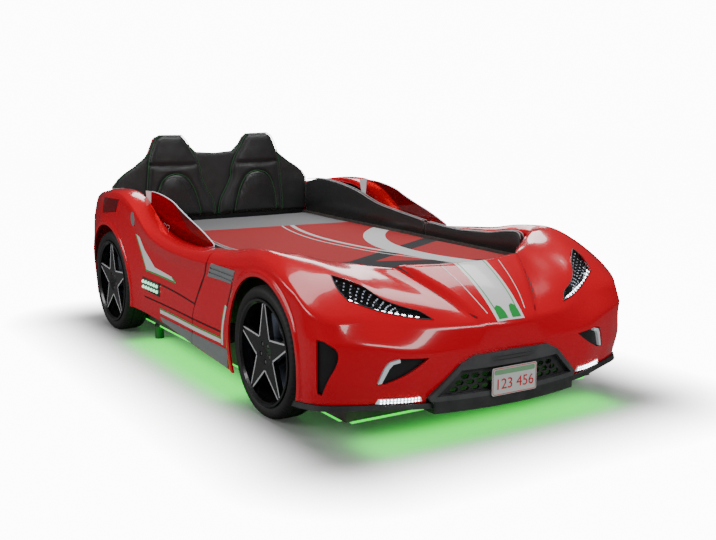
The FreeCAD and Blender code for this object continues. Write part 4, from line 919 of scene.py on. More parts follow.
# ---- body form
class BodyForm:
    """The moulded body's outer surface, smooth through the drawn character lines."""

    def __init__(self) -> None:
        """Place the lines, add lip and skirt rows and prepare the slopes along them."""
        lines = np.array([[placed(*point) for point in line] for line in DRAWN_LINES])
        lip = lines[:1] - (0.0, 0.0, RIM_TURN)
        skirt = lines[-1:] - (0.0, 0.0, SKIRT_DROP)
        self.rows = np.concatenate([lip, lines, skirt])
        flip = np.array((-1.0, 1.0, 1.0))
        ring = np.concatenate([self.rows[:, 1:2] * flip, self.rows, self.rows[:, -2:-1] * flip], axis=1)
        run = np.diff(ring, axis=1)
        length = np.linalg.norm(run, axis=2)[..., None]
        slope = run / length
        before, after = slope[:, :-1], slope[:, 1:]
        self.onward = (before * length[:, 1:] + after * length[:, :-1]) / (length[:, 1:] + length[:, :-1])
        self.inward = self.onward.copy()
        for station in FORM_BREAKS:
            self.onward[:, station] = after[:, station]
            self.inward[:, station] = before[:, station]
        self.length = length[:, 1:-1]
        self.sharp = np.array(ROW_SHARP)[:, None, None]
        middle = self.length[1:SKIRT_ROW, :, 0].mean(axis=0)
        self.reach_v = np.concatenate([[0.0], np.cumsum(middle)])
        gaps = np.linalg.norm(np.diff(self.rows, axis=0), axis=2).mean(axis=1)
        self.reach_u = np.concatenate([[0.0], np.cumsum(gaps)])
        self._index()

    def at(self, u: Array, v: Array) -> Array:
        """Surface points.

        Args:
            u: row coordinates, 0 at the lip and SKIRT_ROW at the skirt's foot.
            v: station coordinates, negative on the left, beyond TAIL_MIDDLE past the tail's middle.

        Returns:
            The points in metres.
        """
        v = np.where(v > TAIL_MIDDLE, v - 2 * TAIL_MIDDLE, v)
        way = np.where(v < 0, -1.0, 1.0)
        reach = np.abs(v)
        k = np.clip(np.floor(reach).astype(int), 0, TAIL_MIDDLE - 1)
        t = (reach - k)[None, :, None]
        size = self.length[:, k]
        cross = hermite(self.rows[:, k], self.rows[:, k + 1], self.onward[:, k] * size,
                        self.inward[:, k + 1] * size, t)
        run = np.diff(cross, axis=0)
        length = np.linalg.norm(run, axis=2)[..., None] + 1e-9
        slope = run / length
        before = np.concatenate([slope[:1], slope])
        after = np.concatenate([slope, slope[-1:]])
        size_before = np.concatenate([length[:1], length])
        size_after = np.concatenate([length, length[-1:]])
        even = (before * size_after + after * size_before) / (size_before + size_after)
        leave = even + (after - even) * self.sharp
        enter = even + (before - even) * self.sharp
        r = np.clip(np.floor(u).astype(int), 0, len(self.rows) - 2)
        s = (u - r)[:, None]
        each = np.arange(len(u))
        gap = length[r, each]
        found = hermite(cross[r, each], cross[r + 1, each], leave[r, each] * gap, enter[r + 1, each] * gap, s)
        found[:, 0] *= way
        return found

    def normal(self, u: Array, v: Array) -> Array:
        """Outward directions of the surface.

        Args:
            u: row coordinates.
            v: station coordinates.

        Returns:
            One direction of length 1 per pair.
        """
        step = 0.02
        across = self.at(np.minimum(u + step, SKIRT_ROW), v) - self.at(np.maximum(u - step, 0.0), v)
        along = self.at(u, v + step) - self.at(u, v - step)
        out = np.cross(across, along)
        return out / (np.linalg.norm(out, axis=1)[:, None] + 1e-12)

    def _index(self) -> None:
        """Prepare the search for surface coordinates on the right half."""
        u = np.linspace(0.0, SKIRT_ROW, 10 * SKIRT_ROW + 1)
        v = np.linspace(0.0, TAIL_MIDDLE, 16 * TAIL_MIDDLE + 1)
        grid_u, grid_v = (axis.ravel() for axis in np.meshgrid(u, v, indexing="ij"))
        points = self.at(grid_u, grid_v)
        faces = []
        for i in range(len(u) - 1):
            for k in range(len(v) - 1):
                a = i * len(v) + k
                faces.append((a, a + 1, a + len(v) + 1))
                faces.append((a, a + len(v) + 1, a + len(v)))
        self.grid = np.stack([grid_u, grid_v], axis=1)
        self.points = points
        self.faces = faces
        self.tree = BVHTree.FromPolygons([tuple(point) for point in points], faces)

    def locate(self, points: Array, aim: Place, reach: float = 0.16) -> Array:
        """Surface coordinates met from outside along a direction.

        Args:
            points: places near the surface, in metres.
            aim: the direction that points out of the surface.
            reach: how far outside each place the search starts.

        Returns:
            One (u, v) row per point, with v negative on the left.
        """
        found = []
        for point in points:
            way = -1.0 if point[0] < 0 else 1.0
            toward = Vector((aim[0] * way, aim[1], aim[2])).normalized()
            toward.x *= way
            start = Vector((abs(point[0]), point[1], point[2])) + toward * reach
            hit, _, face, _ = self.tree.ray_cast(start, -toward, 2.5 * reach)
            if face is None:
                hit, _, face, _ = self.tree.find_nearest(Vector((abs(point[0]), point[1], point[2])))
            corners = self.faces[face]
            a, b, c = (self.points[corner] for corner in corners)
            share = barycentric(np.array(hit), a, b, c)
            u, v = share @ self.grid[list(corners)]
            found.append((u, v * way))
        return np.array(found)

    def flatten(self, coords: Array) -> Array:
        """Lay surface coordinates out in a plane at about true size.

        Args:
            coords: (u, v) rows.

        Returns:
            One place of the plane per row.
        """
        v = coords[:, 1]
        past = np.abs(v) > TAIL_MIDDLE
        folded = np.where(past, 2 * TAIL_MIDDLE - np.abs(v), np.abs(v))
        along = np.interp(folded, np.arange(TAIL_MIDDLE + 1), self.reach_v)
        along = np.where(past, 2 * self.reach_v[-1] - along, along) * np.sign(v)
        return np.stack([along, np.interp(coords[:, 0], np.arange(SKIRT_ROW + 1), self.reach_u)], axis=1)

    def unflatten(self, flat: Array) -> Array:
        """Find the surface coordinates of places in that plane.

        Args:
            flat: places of the plane.

        Returns:
            Their (u, v) rows.
        """
        reach = np.abs(flat[:, 0])
        whole = self.reach_v[-1]
        past = reach > whole
        v = np.interp(np.where(past, 2 * whole - reach, reach), self.reach_v, np.arange(TAIL_MIDDLE + 1))
        v = np.where(past, 2 * TAIL_MIDDLE - v, v) * np.sign(flat[:, 0])
        return np.stack([np.interp(flat[:, 1], self.reach_u, np.arange(SKIRT_ROW + 1)), v], axis=1)


def barycentric(point: Array, a: Array, b: Array, c: Array) -> Array:
    """Shares of a triangle's corners in a point of it.

    Args:
        point: the point.
        a: the first corner.
        b: the second corner.
        c: the third corner.

    Returns:
        The three shares.
    """
    to_b, to_c, to_p = b - a, c - a, point - a
    bb, bc, cc = to_b @ to_b, to_b @ to_c, to_c @ to_c
    pb, pc = to_p @ to_b, to_p @ to_c
    whole = max(bb * cc - bc * bc, 1e-18)
    second = (cc * pb - bc * pc) / whole
    third = (bb * pc - bc * pb) / whole
    return np.array([1 - second - third, second, third])


FORM = BodyForm()


def outline_on_form(corners: Points, aim: Place, curves: Curves = (), gap: float = 0.0) -> Array:
    """A drawn outline as a loop of surface coordinates.

    Args:
        corners: drawn points in millimetres.
        aim: direction in which the outline was drawn.
        curves: its smooth stretches.
        gap: how far it is moved out, in metres.

    Returns:
        The loop's (u, v) rows.
    """
    path = outline_path(drawn(corners), curves, OUTLINE_STEP)
    if gap:
        path = grown(path, np.array(aim), gap)
    return FORM.locate(path, aim)


def grown(path: Array, aim: Array, gap: float) -> Array:
    """A closed outline moved out by a gap, seen along a direction.

    Args:
        path: the outline's points.
        aim: the direction.
        gap: how far it moves.

    Returns:
        The moved points.
    """
    aim = aim / np.linalg.norm(aim)
    before = path - np.roll(path, 1, axis=0)
    after = np.roll(path, -1, axis=0) - path
    turn = np.cross(path, np.roll(path, -1, axis=0)).sum(axis=0) @ aim
    sides = []
    for run in (before, after):
        side = np.cross(run, aim)
        sides.append(side / (np.linalg.norm(side, axis=1)[:, None] + 1e-12))
    bend = 1 + np.sum(sides[0] * sides[1], axis=1)[:, None]
    return path + (sides[0] + sides[1]) / np.maximum(bend, 0.3) * (gap if turn > 0 else -gap)


@dataclass
class SkinPiece:
    """A piece of the body's surface: a panel, a decal, a strip or a lens."""

    name: str
    domain: Array
    finish: Finish
    holes: list[Array] = field(default_factory=list)
    lift: float = 0.0
    flange: float = 0.0
    step: float = MESH_STEP
    arches: tuple[float, ...] = ()

    def make(self) -> Piece:
        """Build the mesh on the body form.

        Returns:
            The piece.
        """
        domain = FORM.flatten(self.domain)
        holes = [FORM.flatten(hole) for hole in self.holes]
        coords, triangles = plane_mesh(domain, holes, self._fill(domain), self.step * MESH_CLEAR)
        surface = FORM.unflatten(coords)
        u, v = surface[:, 0], surface[:, 1]
        out = FORM.normal(u, v)
        points = FORM.at(u, v)
        points = points + out * (self.lift + self._relief(points))[:, None]
        normals = np.cross(points[triangles[:, 1]] - points[triangles[:, 0]],
                           points[triangles[:, 2]] - points[triangles[:, 0]])
        if np.sum(normals * out[triangles[:, 0]]) < 0:
            triangles = triangles[:, ::-1]
        faces = [tuple(int(k) for k in face) for face in triangles]
        if self.flange:
            points, faces = self._with_flange(points, out, triangles, faces)
        return new_piece(self.name, points, faces, self.finish)

    def _fill(self, domain: Array) -> Array:
        """Points wanted inside the domain: a grid and the rings of the arch lips.

        Args:
            domain: the flattened outer loop.

        Returns:
            The points in the plane.
        """
        low, high = domain.min(axis=0), domain.max(axis=0)
        counts = np.maximum(np.ceil((high - low) / self.step).astype(int), 2)
        axes = [np.linspace(low[k], high[k], counts[k] + 1)[1:-1] for k in (0, 1)]
        grid = np.stack([axis.ravel() for axis in np.meshgrid(*axes)], axis=1)
        rings = []
        for axle in self.arches:
            for part in ARCH_LIP_RINGS:
                rings.append(FORM.flatten(arch_loop(axle, ARCH_RADIUS + ARCH_LIP_WIDTH * part)))
        if not rings:
            return grid
        surface = FORM.unflatten(grid)
        places = FORM.at(surface[:, 0], surface[:, 1])
        keep = np.ones(len(grid), dtype=bool)
        for axle in self.arches:
            reach = arch_reach(places, axle)
            keep &= (reach < ARCH_RADIUS) | (reach > ARCH_RADIUS + ARCH_LIP_WIDTH * ARCH_LIP_CLEAR)
        right = np.concatenate(rings)
        left = right * (-1.0, 1.0)
        return np.concatenate([grid[keep], right, left, left + (2 * FORM.reach_v[-1], 0.0)])

    def _relief(self, points: Array) -> Array:
        """Height of the arch lips.

        Args:
            points: places of the surface.

        Returns:
            One height per place.
        """
        rise = np.zeros(len(points))
        for axle in self.arches:
            share = (arch_reach(points, axle) - ARCH_RADIUS) / ARCH_LIP_WIDTH
            rise = np.maximum(rise, np.interp(share, *ARCH_LIP_SHAPE) * ARCH_LIP_PROUD)
        return rise

    def _with_flange(self, points: Array, out: Array, triangles: Array,
                     faces: Faces) -> tuple[Array, Faces]:
        """Add a wall that runs inward from every free edge.

        Args:
            points: the skin's vertices.
            out: outward directions there.
            triangles: vertex numbers of its triangles.
            faces: the same triangles as faces.

        Returns:
            The vertices and the faces with those of the wall.
        """
        edges = rim_edges(triangles)
        rim = sorted({vertex for edge in edges for vertex in edge})
        place = {vertex: k for k, vertex in enumerate(rim)}
        first = len(points)
        inner = points[rim] - out[rim] * self.flange
        grown_points = np.concatenate([points, points[rim], inner])
        second = first + len(rim)
        walls = [(first + place[b], first + place[a], second + place[a], second + place[b]) for a, b in edges]
        return grown_points, faces + walls


def arch_reach(points: Array, axle: float) -> Array:
    """Distance of points from a wheel arch's axis, seen from the side."""
    return np.hypot(points[:, 1] - (axle - ARCH_FORWARD), points[:, 2] - WHEEL_RADIUS)


def arch_loop(axle: float, radius: float) -> Array:
    """A circle round a wheel arch's axis on the right.

    Args:
        axle: the axle's place along Y.
        radius: the circle's radius.

    Returns:
        The circle's (u, v) rows.
    """
    count = int(2 * math.pi * radius / ARCH_STEP)
    turns = np.arange(count) * 2 * math.pi / count
    ring = np.stack([np.full(count, FLANK), axle - ARCH_FORWARD + radius * np.cos(turns),
                     WHEEL_RADIUS + radius * np.sin(turns)], axis=1)
    return FORM.locate(ring, ACROSS, FLANK / 2)


def window_loop(v0: float, v1: float) -> Array:
    """The loop round a stretch of the body between two stations, from lip to hem.

    Args:
        v0: the first station coordinate.
        v1: the last one.

    Returns:
        The loop's (u, v) rows.
    """
    (start, _), (end, _) = FORM.flatten(np.array([[0, v0], [0, v1]]))
    along = np.linspace(v0, v1, max(int((end - start) / MESH_STEP), 2) + 1)
    across = np.linspace(0.0, HEM_ROW, 46)
    sides = [np.stack([np.zeros(len(along)), along], axis=1),
             np.stack([across, np.full(len(across), v1)], axis=1),
             np.stack([np.full(len(along), HEM_ROW), along[::-1]], axis=1),
             np.stack([across[::-1], np.full(len(across), v0)], axis=1)]
    return np.concatenate([side[:-1] for side in sides])


# ---- body shells
HEADLAMP: Points = [(478, -844, 485), (484, -896, 447), (472, -936, 416), (396, -985, 391), (322, -1027, 376),
                    (253, -1054, 366), (283, -1022, 388), (330, -992, 401), (371, -962, 421),
                    (414, -906, 457)]
HEADLAMP_CURVES = ((0, 2), (2, 3), (5, 5))
HEADLAMP_AIM = (0.35, -0.55, 0.76)
FOG: Points = [(287, -1083, 259), (380, -1063, 266), (408, -1052, 258), (422, -1048, 240), (440, -1036, 189),
               (417, -1045, 190), (377, -1061, 206), (334, -1073, 228)]
FOG_CURVES = ((1, 3), (5, 3))
FOG_AIM = (0.18, -0.98, 0.0)
INLET: Points = [(588, -954, 325), (574, -976, 321), (549, -998, 300), (543, -1001, 279), (548, -996, 250),
                 (563, -984, 216), (577, -962, 160), (586, -950, 163)]
INLET_CURVES = ((1, 5),)
INLET_AIM = (0.72, -0.69, 0.0)
VENT: Points = [(597, -261, 444), (598, -452, 447), (596, -414, 398), (591, -208, 391)]
TAIL_LAMP: Points = [(594, 842, 566), (599, 636, 575), (603, 678, 521), (602, 846, 501)]
SILL_STRIP: Points = [(583, 267, 160), (583, 237, 142), (594, -368, 104), (595, -368, 169)]
LIGHT_BAR: Points = [(300, -1070, 128), (438, -1036, 130), (430, -1036, 146), (306, -1070, 143)]
GRILLE_GAP: Points = [(284.6, -1060, 60), (284.6, -1060, 138), (186.4, -1090, 229.6), (139.4, -1100, 251.6),
                      (-139.4, -1100, 251.6), (-186.4, -1090, 229.6), (-284.6, -1060, 138),
                      (-284.6, -1060, 60)]
ACROSS = (1.0, 0.0, 0.0)
AHEAD = (0.0, -1.0, 0.0)
HOOD_AIM = (0.0, -0.55, 0.83)


@dataclass
class BodyShells:
    """The red skins: nose with hood and fenders, both sides, and tail."""

    seam_half: float = 0.0015
    edge: float = 0.006
    undercut: float = 0.4
    wall_start: float = 0.44
    wall_end: float = -0.555
    wall_foot: tuple[tuple[float, float], tuple[float, float]] = ((-0.924, -0.571), (0.326, 0.420))
    wall_gap: float = 0.0015

    def make(self) -> None:
        """Build every skin with its openings and let it stand for the CAD one."""
        seam = self.seam_half * TAIL_MIDDLE / FORM.reach_v[-1]
        openings = [(HEADLAMP, HEADLAMP_AIM, HEADLAMP_CURVES), (FOG, FOG_AIM, FOG_CURVES),
                    (INLET, INLET_AIM, INLET_CURVES), (VENT, ACROSS, ()), (LIGHT_BAR, FOG_AIM, ())]
        front_cuts = [outline_on_form(*opening) for opening in openings]
        sill, hem = outline_on_form(SILL_STRIP, ACROSS), self._hem_cut()
        front_cuts += [sill, arch_loop(FRONT_AXLE, ARCH_RADIUS), hem]
        other = [cut * (1.0, -1.0) for cut in front_cuts]
        grille = outline_on_form(GRILLE_GAP, AHEAD)
        nose = SkinPiece("nose_skin", window_loop(-DOOR_SEAM + seam, DOOR_SEAM - seam), RED_BODY,
                         front_cuts + other + [grille], flange=self.edge, arches=(FRONT_AXLE,)).make()
        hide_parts("nose_shell")
        rear_arch = arch_loop(REAR_AXLE, ARCH_RADIUS)
        side_cuts = [outline_on_form(TAIL_LAMP, ACROSS), sill, rear_arch, hem]
        side = SkinPiece("side_skin_right", window_loop(DOOR_SEAM + seam, TAIL_SEAM - seam), RED_BODY,
                         side_cuts, flange=self.edge, arches=(REAR_AXLE,)).make()
        right, left = both_sides(side)
        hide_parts("side_shell_right")
        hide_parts("side_shell_left")
        far_arch = rear_arch.copy()
        far_arch[:, 1] = 2 * TAIL_MIDDLE - far_arch[:, 1]
        rear = window_loop(TAIL_SEAM + seam, 2 * TAIL_MIDDLE - TAIL_SEAM - seam)
        tail = SkinPiece("tail_skin", rear, RED_BODY, [rear_arch, far_arch], flange=self.edge,
                         arches=(REAR_AXLE,)).make()
        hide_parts("tail_shell")
        self._inner_wall()

    def _hem_cut(self) -> Array:
        """The strip under the sill strips where the hem runs higher, as a loop of surface coordinates.

        Returns:
            The loop's (u, v) rows.
        """
        foot = FORM.locate(even_path(drawn(SILL_FOOT), 0.01), ACROSS)
        under = np.stack([np.full(len(foot), HEM_ROW + self.undercut), foot[:, 1]], axis=1)
        return np.concatenate([foot, under[::-1]])

    def _inner_wall(self) -> None:
        """The nose moulding's inner wall, from its rim down to the side boards."""
        v = np.linspace(0.0, DOOR_SEAM, 160)
        rim = FORM.at(np.zeros(len(v)), v)
        rim = rim[(rim[:, 0] > self.wall_start) & (rim[:, 1] < self.wall_end)]
        foot = rim.copy()
        foot[:, 0] = BOARD_OUTER - self.wall_gap
        foot[:, 2] = np.interp(rim[:, 1], *self.wall_foot)
        faces = grid_faces(2, len(rim), columns_closed=False)
        both_sides(new_piece("nose_inner_wall_right", np.concatenate([rim, foot]), faces, RED_BODY))


def ribbon(points: Points, aim: Place, width: float, curved: bool = True) -> Array:
    """A band of even width along a drawn line, as a loop of surface coordinates.

    Args:
        points: drawn points of the band's middle, in millimetres.
        aim: direction in which it was drawn.
        width: its width in metres.
        curved: whether it runs smoothly through the points.

    Returns:
        The loop's (u, v) rows.
    """
    path = smooth_path(drawn(points), OUTLINE_STEP) if curved else even_path(drawn(points), OUTLINE_STEP)
    out = np.array(aim) / np.linalg.norm(aim)
    side = np.cross(np.gradient(path, axis=0), out)
    side /= np.linalg.norm(side, axis=1)[:, None]
    ring = np.concatenate([path + side * width / 2, (path - side * width / 2)[::-1]])
    return FORM.locate(ring, aim)


SIDE_FILM: Points = [(597, 475, 455), (597, 385, 322), (592, 268, 321), (590, 88, 318), (590, 130, 334),
                     (592, 300, 345), (596, 395, 400), (597, 440, 445)]
ARCH_FILM: Points = [(594, -324, 176), (594, -325, 212), (594, -337, 262), (595, -360, 316)]
SILL_FILM: Points = [(583, 262, 180), (588, 60, 182), (594, -150, 184), (594, -318, 186)]
SILL_LINE: Points = [(583, 262, 191), (588, 60, 193), (594, -150, 195), (594, -312, 197)]
ARCH_LINE: Points = [(594, -315, 176), (594, -316, 212), (594, -328, 262), (595, -350, 316)]
STRIPE_END: Points = [(42, -1094, 346), (8, -1094, 346), (10, -1078, 366), (16, -1066, 379), (28, -1061, 384),
                      (38, -1066, 379), (42, -1078, 366)]
SILL_FOOT: Points = [(583, 600, 150), (583, 237, 140), (594, -368, 102), (594, -400, 100)]
DOOR_GROOVE: Points = [(597, -219, 439), (594, -190, 400), (590, -140, 340), (590, -96, 276)]
FENDER_GROOVE: Points = [(597, -417, 397), (594, -385, 345), (594, -352, 285), (594, -316, 219)]
LOWER_GROOVE: Points = [(588, 268, 288), (588, 80, 283), (588, -102, 274)]
SILL_GROOVE: Points = [(586, 416, 213), (588, 200, 214), (590, -100, 217), (594, -316, 219)]
HOOD_GROOVE: Points = [(248, -807, 477), (232, -845, 469), (206, -914, 443), (178, -978, 411),
                       (145, -1034, 378), (111, -1077, 355)]
HOOD_LINE: Points = [(112, -890, 476), (100, -960, 452), (86, -1030, 405), (72, -1075, 365)]


@dataclass
class BodyGraphics:
    """Grooves as dark ribbons of painted shade, films and stripes laid on the skins."""

    lift: float = 0.0004
    groove_lift: float = 0.0002
    mesh_step: float = 0.008
    stripe_half_rear: float = 62.0
    stripe_half_nose: float = 52.0

    def make(self) -> None:
        """Lay every graphic on the right side and its twin on the left."""
        # The grooves are dark ribbons of painted shade laid on the skin, not cut into it.
        for name, points, width, aim in (("door_groove", DOOR_GROOVE, 0.008, ACROSS),
                                         ("fender_groove", FENDER_GROOVE, 0.007, ACROSS),
                                         ("lower_groove", LOWER_GROOVE, 0.006, ACROSS),
                                         ("sill_groove", SILL_GROOVE, 0.006, ACROSS),
                                         ("hood_groove", HOOD_GROOVE, 0.004, HOOD_AIM)):
            self._pair(name, ribbon(points, aim, width), SEAM_PAINTED_SHADE, self.groove_lift)
        self._pair("side_film", outline_on_form(SIDE_FILM, ACROSS), WHITE_FILM, self.lift)
        self._pair("side_film_edge", ribbon(SIDE_FILM[:5], ACROSS, 0.006, False), GREEN_FILM, 2 * self.lift)
        for name, points, width, finish in (("arch_film", ARCH_FILM, 0.013, WHITE_FILM),
                                            ("arch_line", ARCH_LINE, 0.005, GREEN_FILM),
                                            ("sill_film", SILL_FILM, 0.014, WHITE_FILM),
                                            ("sill_line", SILL_LINE, 0.005, GREEN_FILM)):
            self._pair(name, ribbon(points, ACROSS, width), finish, self.lift)
        self._pair("hood_stripe_end", outline_on_form(STRIPE_END, HOOD_AIM), GREEN_FILM, 2 * self.lift)
        self._pair("hood_pinstripe", ribbon(HOOD_LINE, HOOD_AIM, 0.003), WHITE_FILM, self.lift)
        self._stripe()

    def _lay(self, name: str, domain: Array, finish: Finish, lift: float) -> Piece:
        """One graphic on the skin."""
        return SkinPiece(name, domain, finish, lift=lift, step=self.mesh_step).make()

    def _pair(self, name: str, domain: Array, finish: Finish, lift: float) -> None:
        """One graphic on both sides."""
        both_sides(self._lay(name + "_right", domain, finish, lift))

    def _stripe(self) -> None:
        """The band along the hood with its inset green lines."""
        rear, nose = self.stripe_half_rear, self.stripe_half_nose
        band: Points = [(-rear, -888, 484), (rear, -888, 484), (nose, -1098, 340), (-nose, -1098, 340)]
        self._lay("hood_stripe", outline_on_form(band, HOOD_AIM), WHITE_FILM, self.lift)
        for side, word in ((-1, "left"), (1, "right")):
            line: Points = [(side * (rear - 12), -890, 483), (side * (nose - 10), -1050, 395),
                            (side * (nose - 14), -1085, 362)]
            self._lay("hood_stripe_line_" + word, ribbon(line, HOOD_AIM, 0.0035, False), GREEN_FILM,
                      2 * self.lift)


# ---- upholstery
SEAT: FlatPoints = [(4, 432), (18, 505), (46, 556), (70, 606), (77, 655), (95, 702), (120, 742), (145, 785),
                    (166, 807), (262, 809), (286, 796), (302, 765), (322, 705), (334, 602), (342, 520),
                    (346, 432)]
SEAT_CURVES = ((0, 7), (10, 5))
INSERT: FlatPoints = [(84, 440), (95, 495), (116, 560), (148, 612), (180, 630), (212, 634), (245, 624),
                      (268, 604), (290, 556), (301, 500), (303, 440)]
INSERT_CURVES = ((0, 5), (5, 5))
HEAD_PAD: FlatPoints = [(0, 432), (0, 720), (92, 727), (170, 800), (262, 790), (336, 708), (386, 670),
                        (432, 642), (464, 616), (482, 589), (482, 432)]
BOLSTER_SEAM: FlatPoints = [(108, 672), (150, 668), (210, 664), (270, 668), (318, 676)]
REAR_PAD_TOP = ((1033, 579), (900, 590), (740, 583), (575, 561), (400, 520), (220, 498), (27, 480))
FRONT_PAD_TOP = ((23, 480), (-170, 472), (-360, 482), (-556, 500), (-571, 470))
SEAT_FRONT = 1.007
SEAT_BACK = 1.057
BOARD_TOP = 0.424
PAD_INNER = 0.478
PAD_OUTER = 0.503


def flat_outline(corners: FlatPoints, curves: Curves = ()) -> Array:
    """A drawn flat outline in millimetres as an even loop in metres."""
    loop = outline_path([(x * MM, y * MM, 0.0) for x, y in corners], curves, OUTLINE_STEP)
    return loop[:, :2]


@dataclass
class Cushion:
    """A flat-backed cushion grown from an outline, rounded at its edge and crowned."""

    name: str
    outline: Array
    thickness: float
    finish: Finish
    round_edge: float = 0.016
    crown: float = 0.004
    crown_reach: float = 0.05
    creases: float = 0.0012
    crease_rate: float = 22.0
    grooves: list[Array] = field(default_factory=list)
    groove_depth: float = 0.009
    groove_width: float = 0.007
    edge_rings: tuple[float, ...] = (0.0015, 0.004, 0.008, 0.013)
    step: float = 0.008
    plane: str = "xz"
    front: float = SEAT_FRONT
    body: str = "bed"

    def make(self) -> Piece:
        """Build the cushion as one closed mesh.

        Returns:
            The cushion.
        """
        low, high = self.outline.min(axis=0), self.outline.max(axis=0)
        axes = [np.arange(low[k] + self.step / 2, high[k], self.step) for k in (0, 1)]
        fill = np.stack([axis.ravel() for axis in np.meshgrid(*axes)], axis=1)
        ring = inset_points(self.outline, self.edge_rings)
        coords, triangles = plane_mesh(self.outline, [], np.concatenate([fill, ring]), 0.001)
        front = self._place(coords, self._height(coords))
        edges = rim_edges(triangles)
        rim = sorted({vertex for edge in edges for vertex in edge})
        place = {vertex: len(front) + k for k, vertex in enumerate(rim)}
        points = np.concatenate([front, self._place(coords[rim], np.zeros(len(rim)))])
        faces = [tuple(int(k) for k in face) for face in triangles]
        faces += [(int(b), int(a), place[a], place[b]) for a, b in edges]
        faces.append(tuple(place[a] for a in self._ordered(edges)))
        piece = new_piece(self.name, points, faces, self.finish, self.body)
        bench = bmesh.new()
        bench.from_mesh(piece.data)
        bmesh.ops.recalc_face_normals(bench, faces=bench.faces)
        bench.to_mesh(piece.data)
        bench.free()
        return piece

    def _ordered(self, edges: list[tuple[int, int]]) -> list[int]:
        """Put the rim's vertices in turn.

        Args:
            edges: the rim's edges.

        Returns:
            The vertex numbers round the rim.
        """
        after = dict(edges)
        start = edges[0][0]
        found = [start]
        while after[found[-1]] != start and len(found) <= len(edges):
            found.append(after[found[-1]])
        return found

    def _height(self, coords: Array) -> Array:
        """Thickness of the cushion.

        Args:
            coords: places inside the outline.

        Returns:
            One thickness per place.
        """
        reach = loop_distance(coords, self.outline)
        share = np.clip(reach / self.round_edge, 0.0, 1.0)
        dome = np.sqrt(np.clip(1 - (1 - share) ** 2, 0.0, 1.0)) * self.round_edge
        swell = self.crown * (1 - np.exp(-reach / self.crown_reach))
        height = self.thickness - self.round_edge - self.crown + dome + swell
        for groove in self.grooves:
            height -= self.groove_depth * np.exp(-(loop_distance(coords, groove) / self.groove_width) ** 2)
        rate = self.crease_rate
        wander = np.array([noise.noise(Vector((x * rate, y * rate, len(self.name)))) for x, y in coords])
        return height + wander * self.creases * share

    def _place(self, coords: Array, depth: Array) -> Array:
        """Move places of the outline's plane to the frame.

        Args:
            coords: the places.
            depth: their distances from the cushion's back.

        Returns:
            The points in metres.
        """
        a, b = coords[:, 0], coords[:, 1]
        if self.plane == "xz":
            return np.stack([a, self.front + self.thickness - depth, b], axis=1)
        return np.stack([a, b, self.front + depth], axis=1)


def inset_points(loop: Array, depths: tuple[float, ...]) -> Array:
    """Points along a loop at several distances inside it.

    Args:
        loop: the loop's corners.
        depths: the distances.

    Returns:
        The points of all distances.
    """
    ahead = np.roll(loop, -1, axis=0) - np.roll(loop, 1, axis=0)
    side = np.stack([-ahead[:, 1], ahead[:, 0]], axis=1)
    side /= np.linalg.norm(side, axis=1)[:, None] + 1e-12
    area = np.sum(loop[:, 0] * np.roll(loop[:, 1], -1) - np.roll(loop[:, 0], -1) * loop[:, 1])
    way = 1.0 if area > 0 else -1.0
    return np.concatenate([loop + side * way * depth for depth in depths])


def upright(loop: Array, y: float) -> Array:
    """A flat loop stood up across the bed at a place along Y."""
    return np.stack([loop[:, 0], np.full(len(loop), y), loop[:, 1]], axis=1)


def along_bed(loop: Array, x: float) -> Array:
    """A flat loop stood up along the bed at a place along X."""
    return np.stack([np.full(len(loop), x), loop[:, 0], loop[:, 1]], axis=1)


@dataclass
class SeatBacks:
    """The two seat backs with inserts and piping, and the pad round them."""

    piping: float = 0.0018
    insert_rise: float = 0.008
    seat_piping_sink: float = 0.017
    insert_piping_sink: float = 0.003
    pad_front: float = 1.035
    pad_piping_at: float = 1.042
    pad_piping_foot: float = 0.45
    pad_centre: float = 0.4
    foot_clear: float = 0.004

    def make(self) -> None:
        """Build seats, inserts, piping and the pad behind them."""
        seat_loop = flat_outline(SEAT, SEAT_CURVES)
        insert_loop = flat_outline(INSERT, INSERT_CURVES)
        seat = Cushion("seat_back_right", seat_loop, SEAT_BACK - SEAT_FRONT, LEATHER, 0.024, 0.010,
                       grooves=[insert_loop, np.array(BOLSTER_SEAM) * MM]).make()
        insert = Cushion("seat_insert_right", insert_loop, 0.030, LEATHER_PANEL, 0.014, 0.010,
                         front=SEAT_FRONT - self.insert_rise).make()
        for piece, node in ((seat, "seat_right"), (insert, "seat_inserts")):
            twin = both_sides(piece)[1]
            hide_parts(node)
            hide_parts(node.replace("_right", "_left"))
        for name, loop, sink in (("seat_piping_right", seat_loop, self.seat_piping_sink),
                                 ("insert_piping_right", insert_loop, self.insert_piping_sink)):
            path = upright(loop, SEAT_FRONT + sink)
            both_sides(tube(name, path[self._upper(path)], self.piping, GREEN_PIPING))
        half = flat_outline(HEAD_PAD)
        whole = np.concatenate([half, (half * (-1.0, 1.0))[::-1]])
        whole = whole[np.abs(whole[:, 0]) > 1e-4]
        pad = Cushion("headboard_pad", whole, 0.022, LEATHER, 0.010, 0.004, front=self.pad_front).make()
        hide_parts("headboard_pads")
        rim = upright(whole, self.pad_piping_at)
        rim = rim[rim[:, 2] > self.pad_piping_foot]
        turn = np.argsort(np.arctan2(rim[:, 2] - self.pad_centre, rim[:, 0]))
        tube("headboard_piping", rim[turn], self.piping, GREEN_PIPING)

    def _upper(self, path: Array) -> Array:
        """Find the points above a seat's foot.

        Args:
            path: the closed outline's points.

        Returns:
            Their numbers, in turn along the open outline.
        """
        kept = np.flatnonzero(path[:, 2] > path[:, 2].min() + self.foot_clear)
        split = np.flatnonzero(np.diff(kept) > 1)
        return np.roll(kept, -(int(split[0]) + 1)) if len(split) else kept


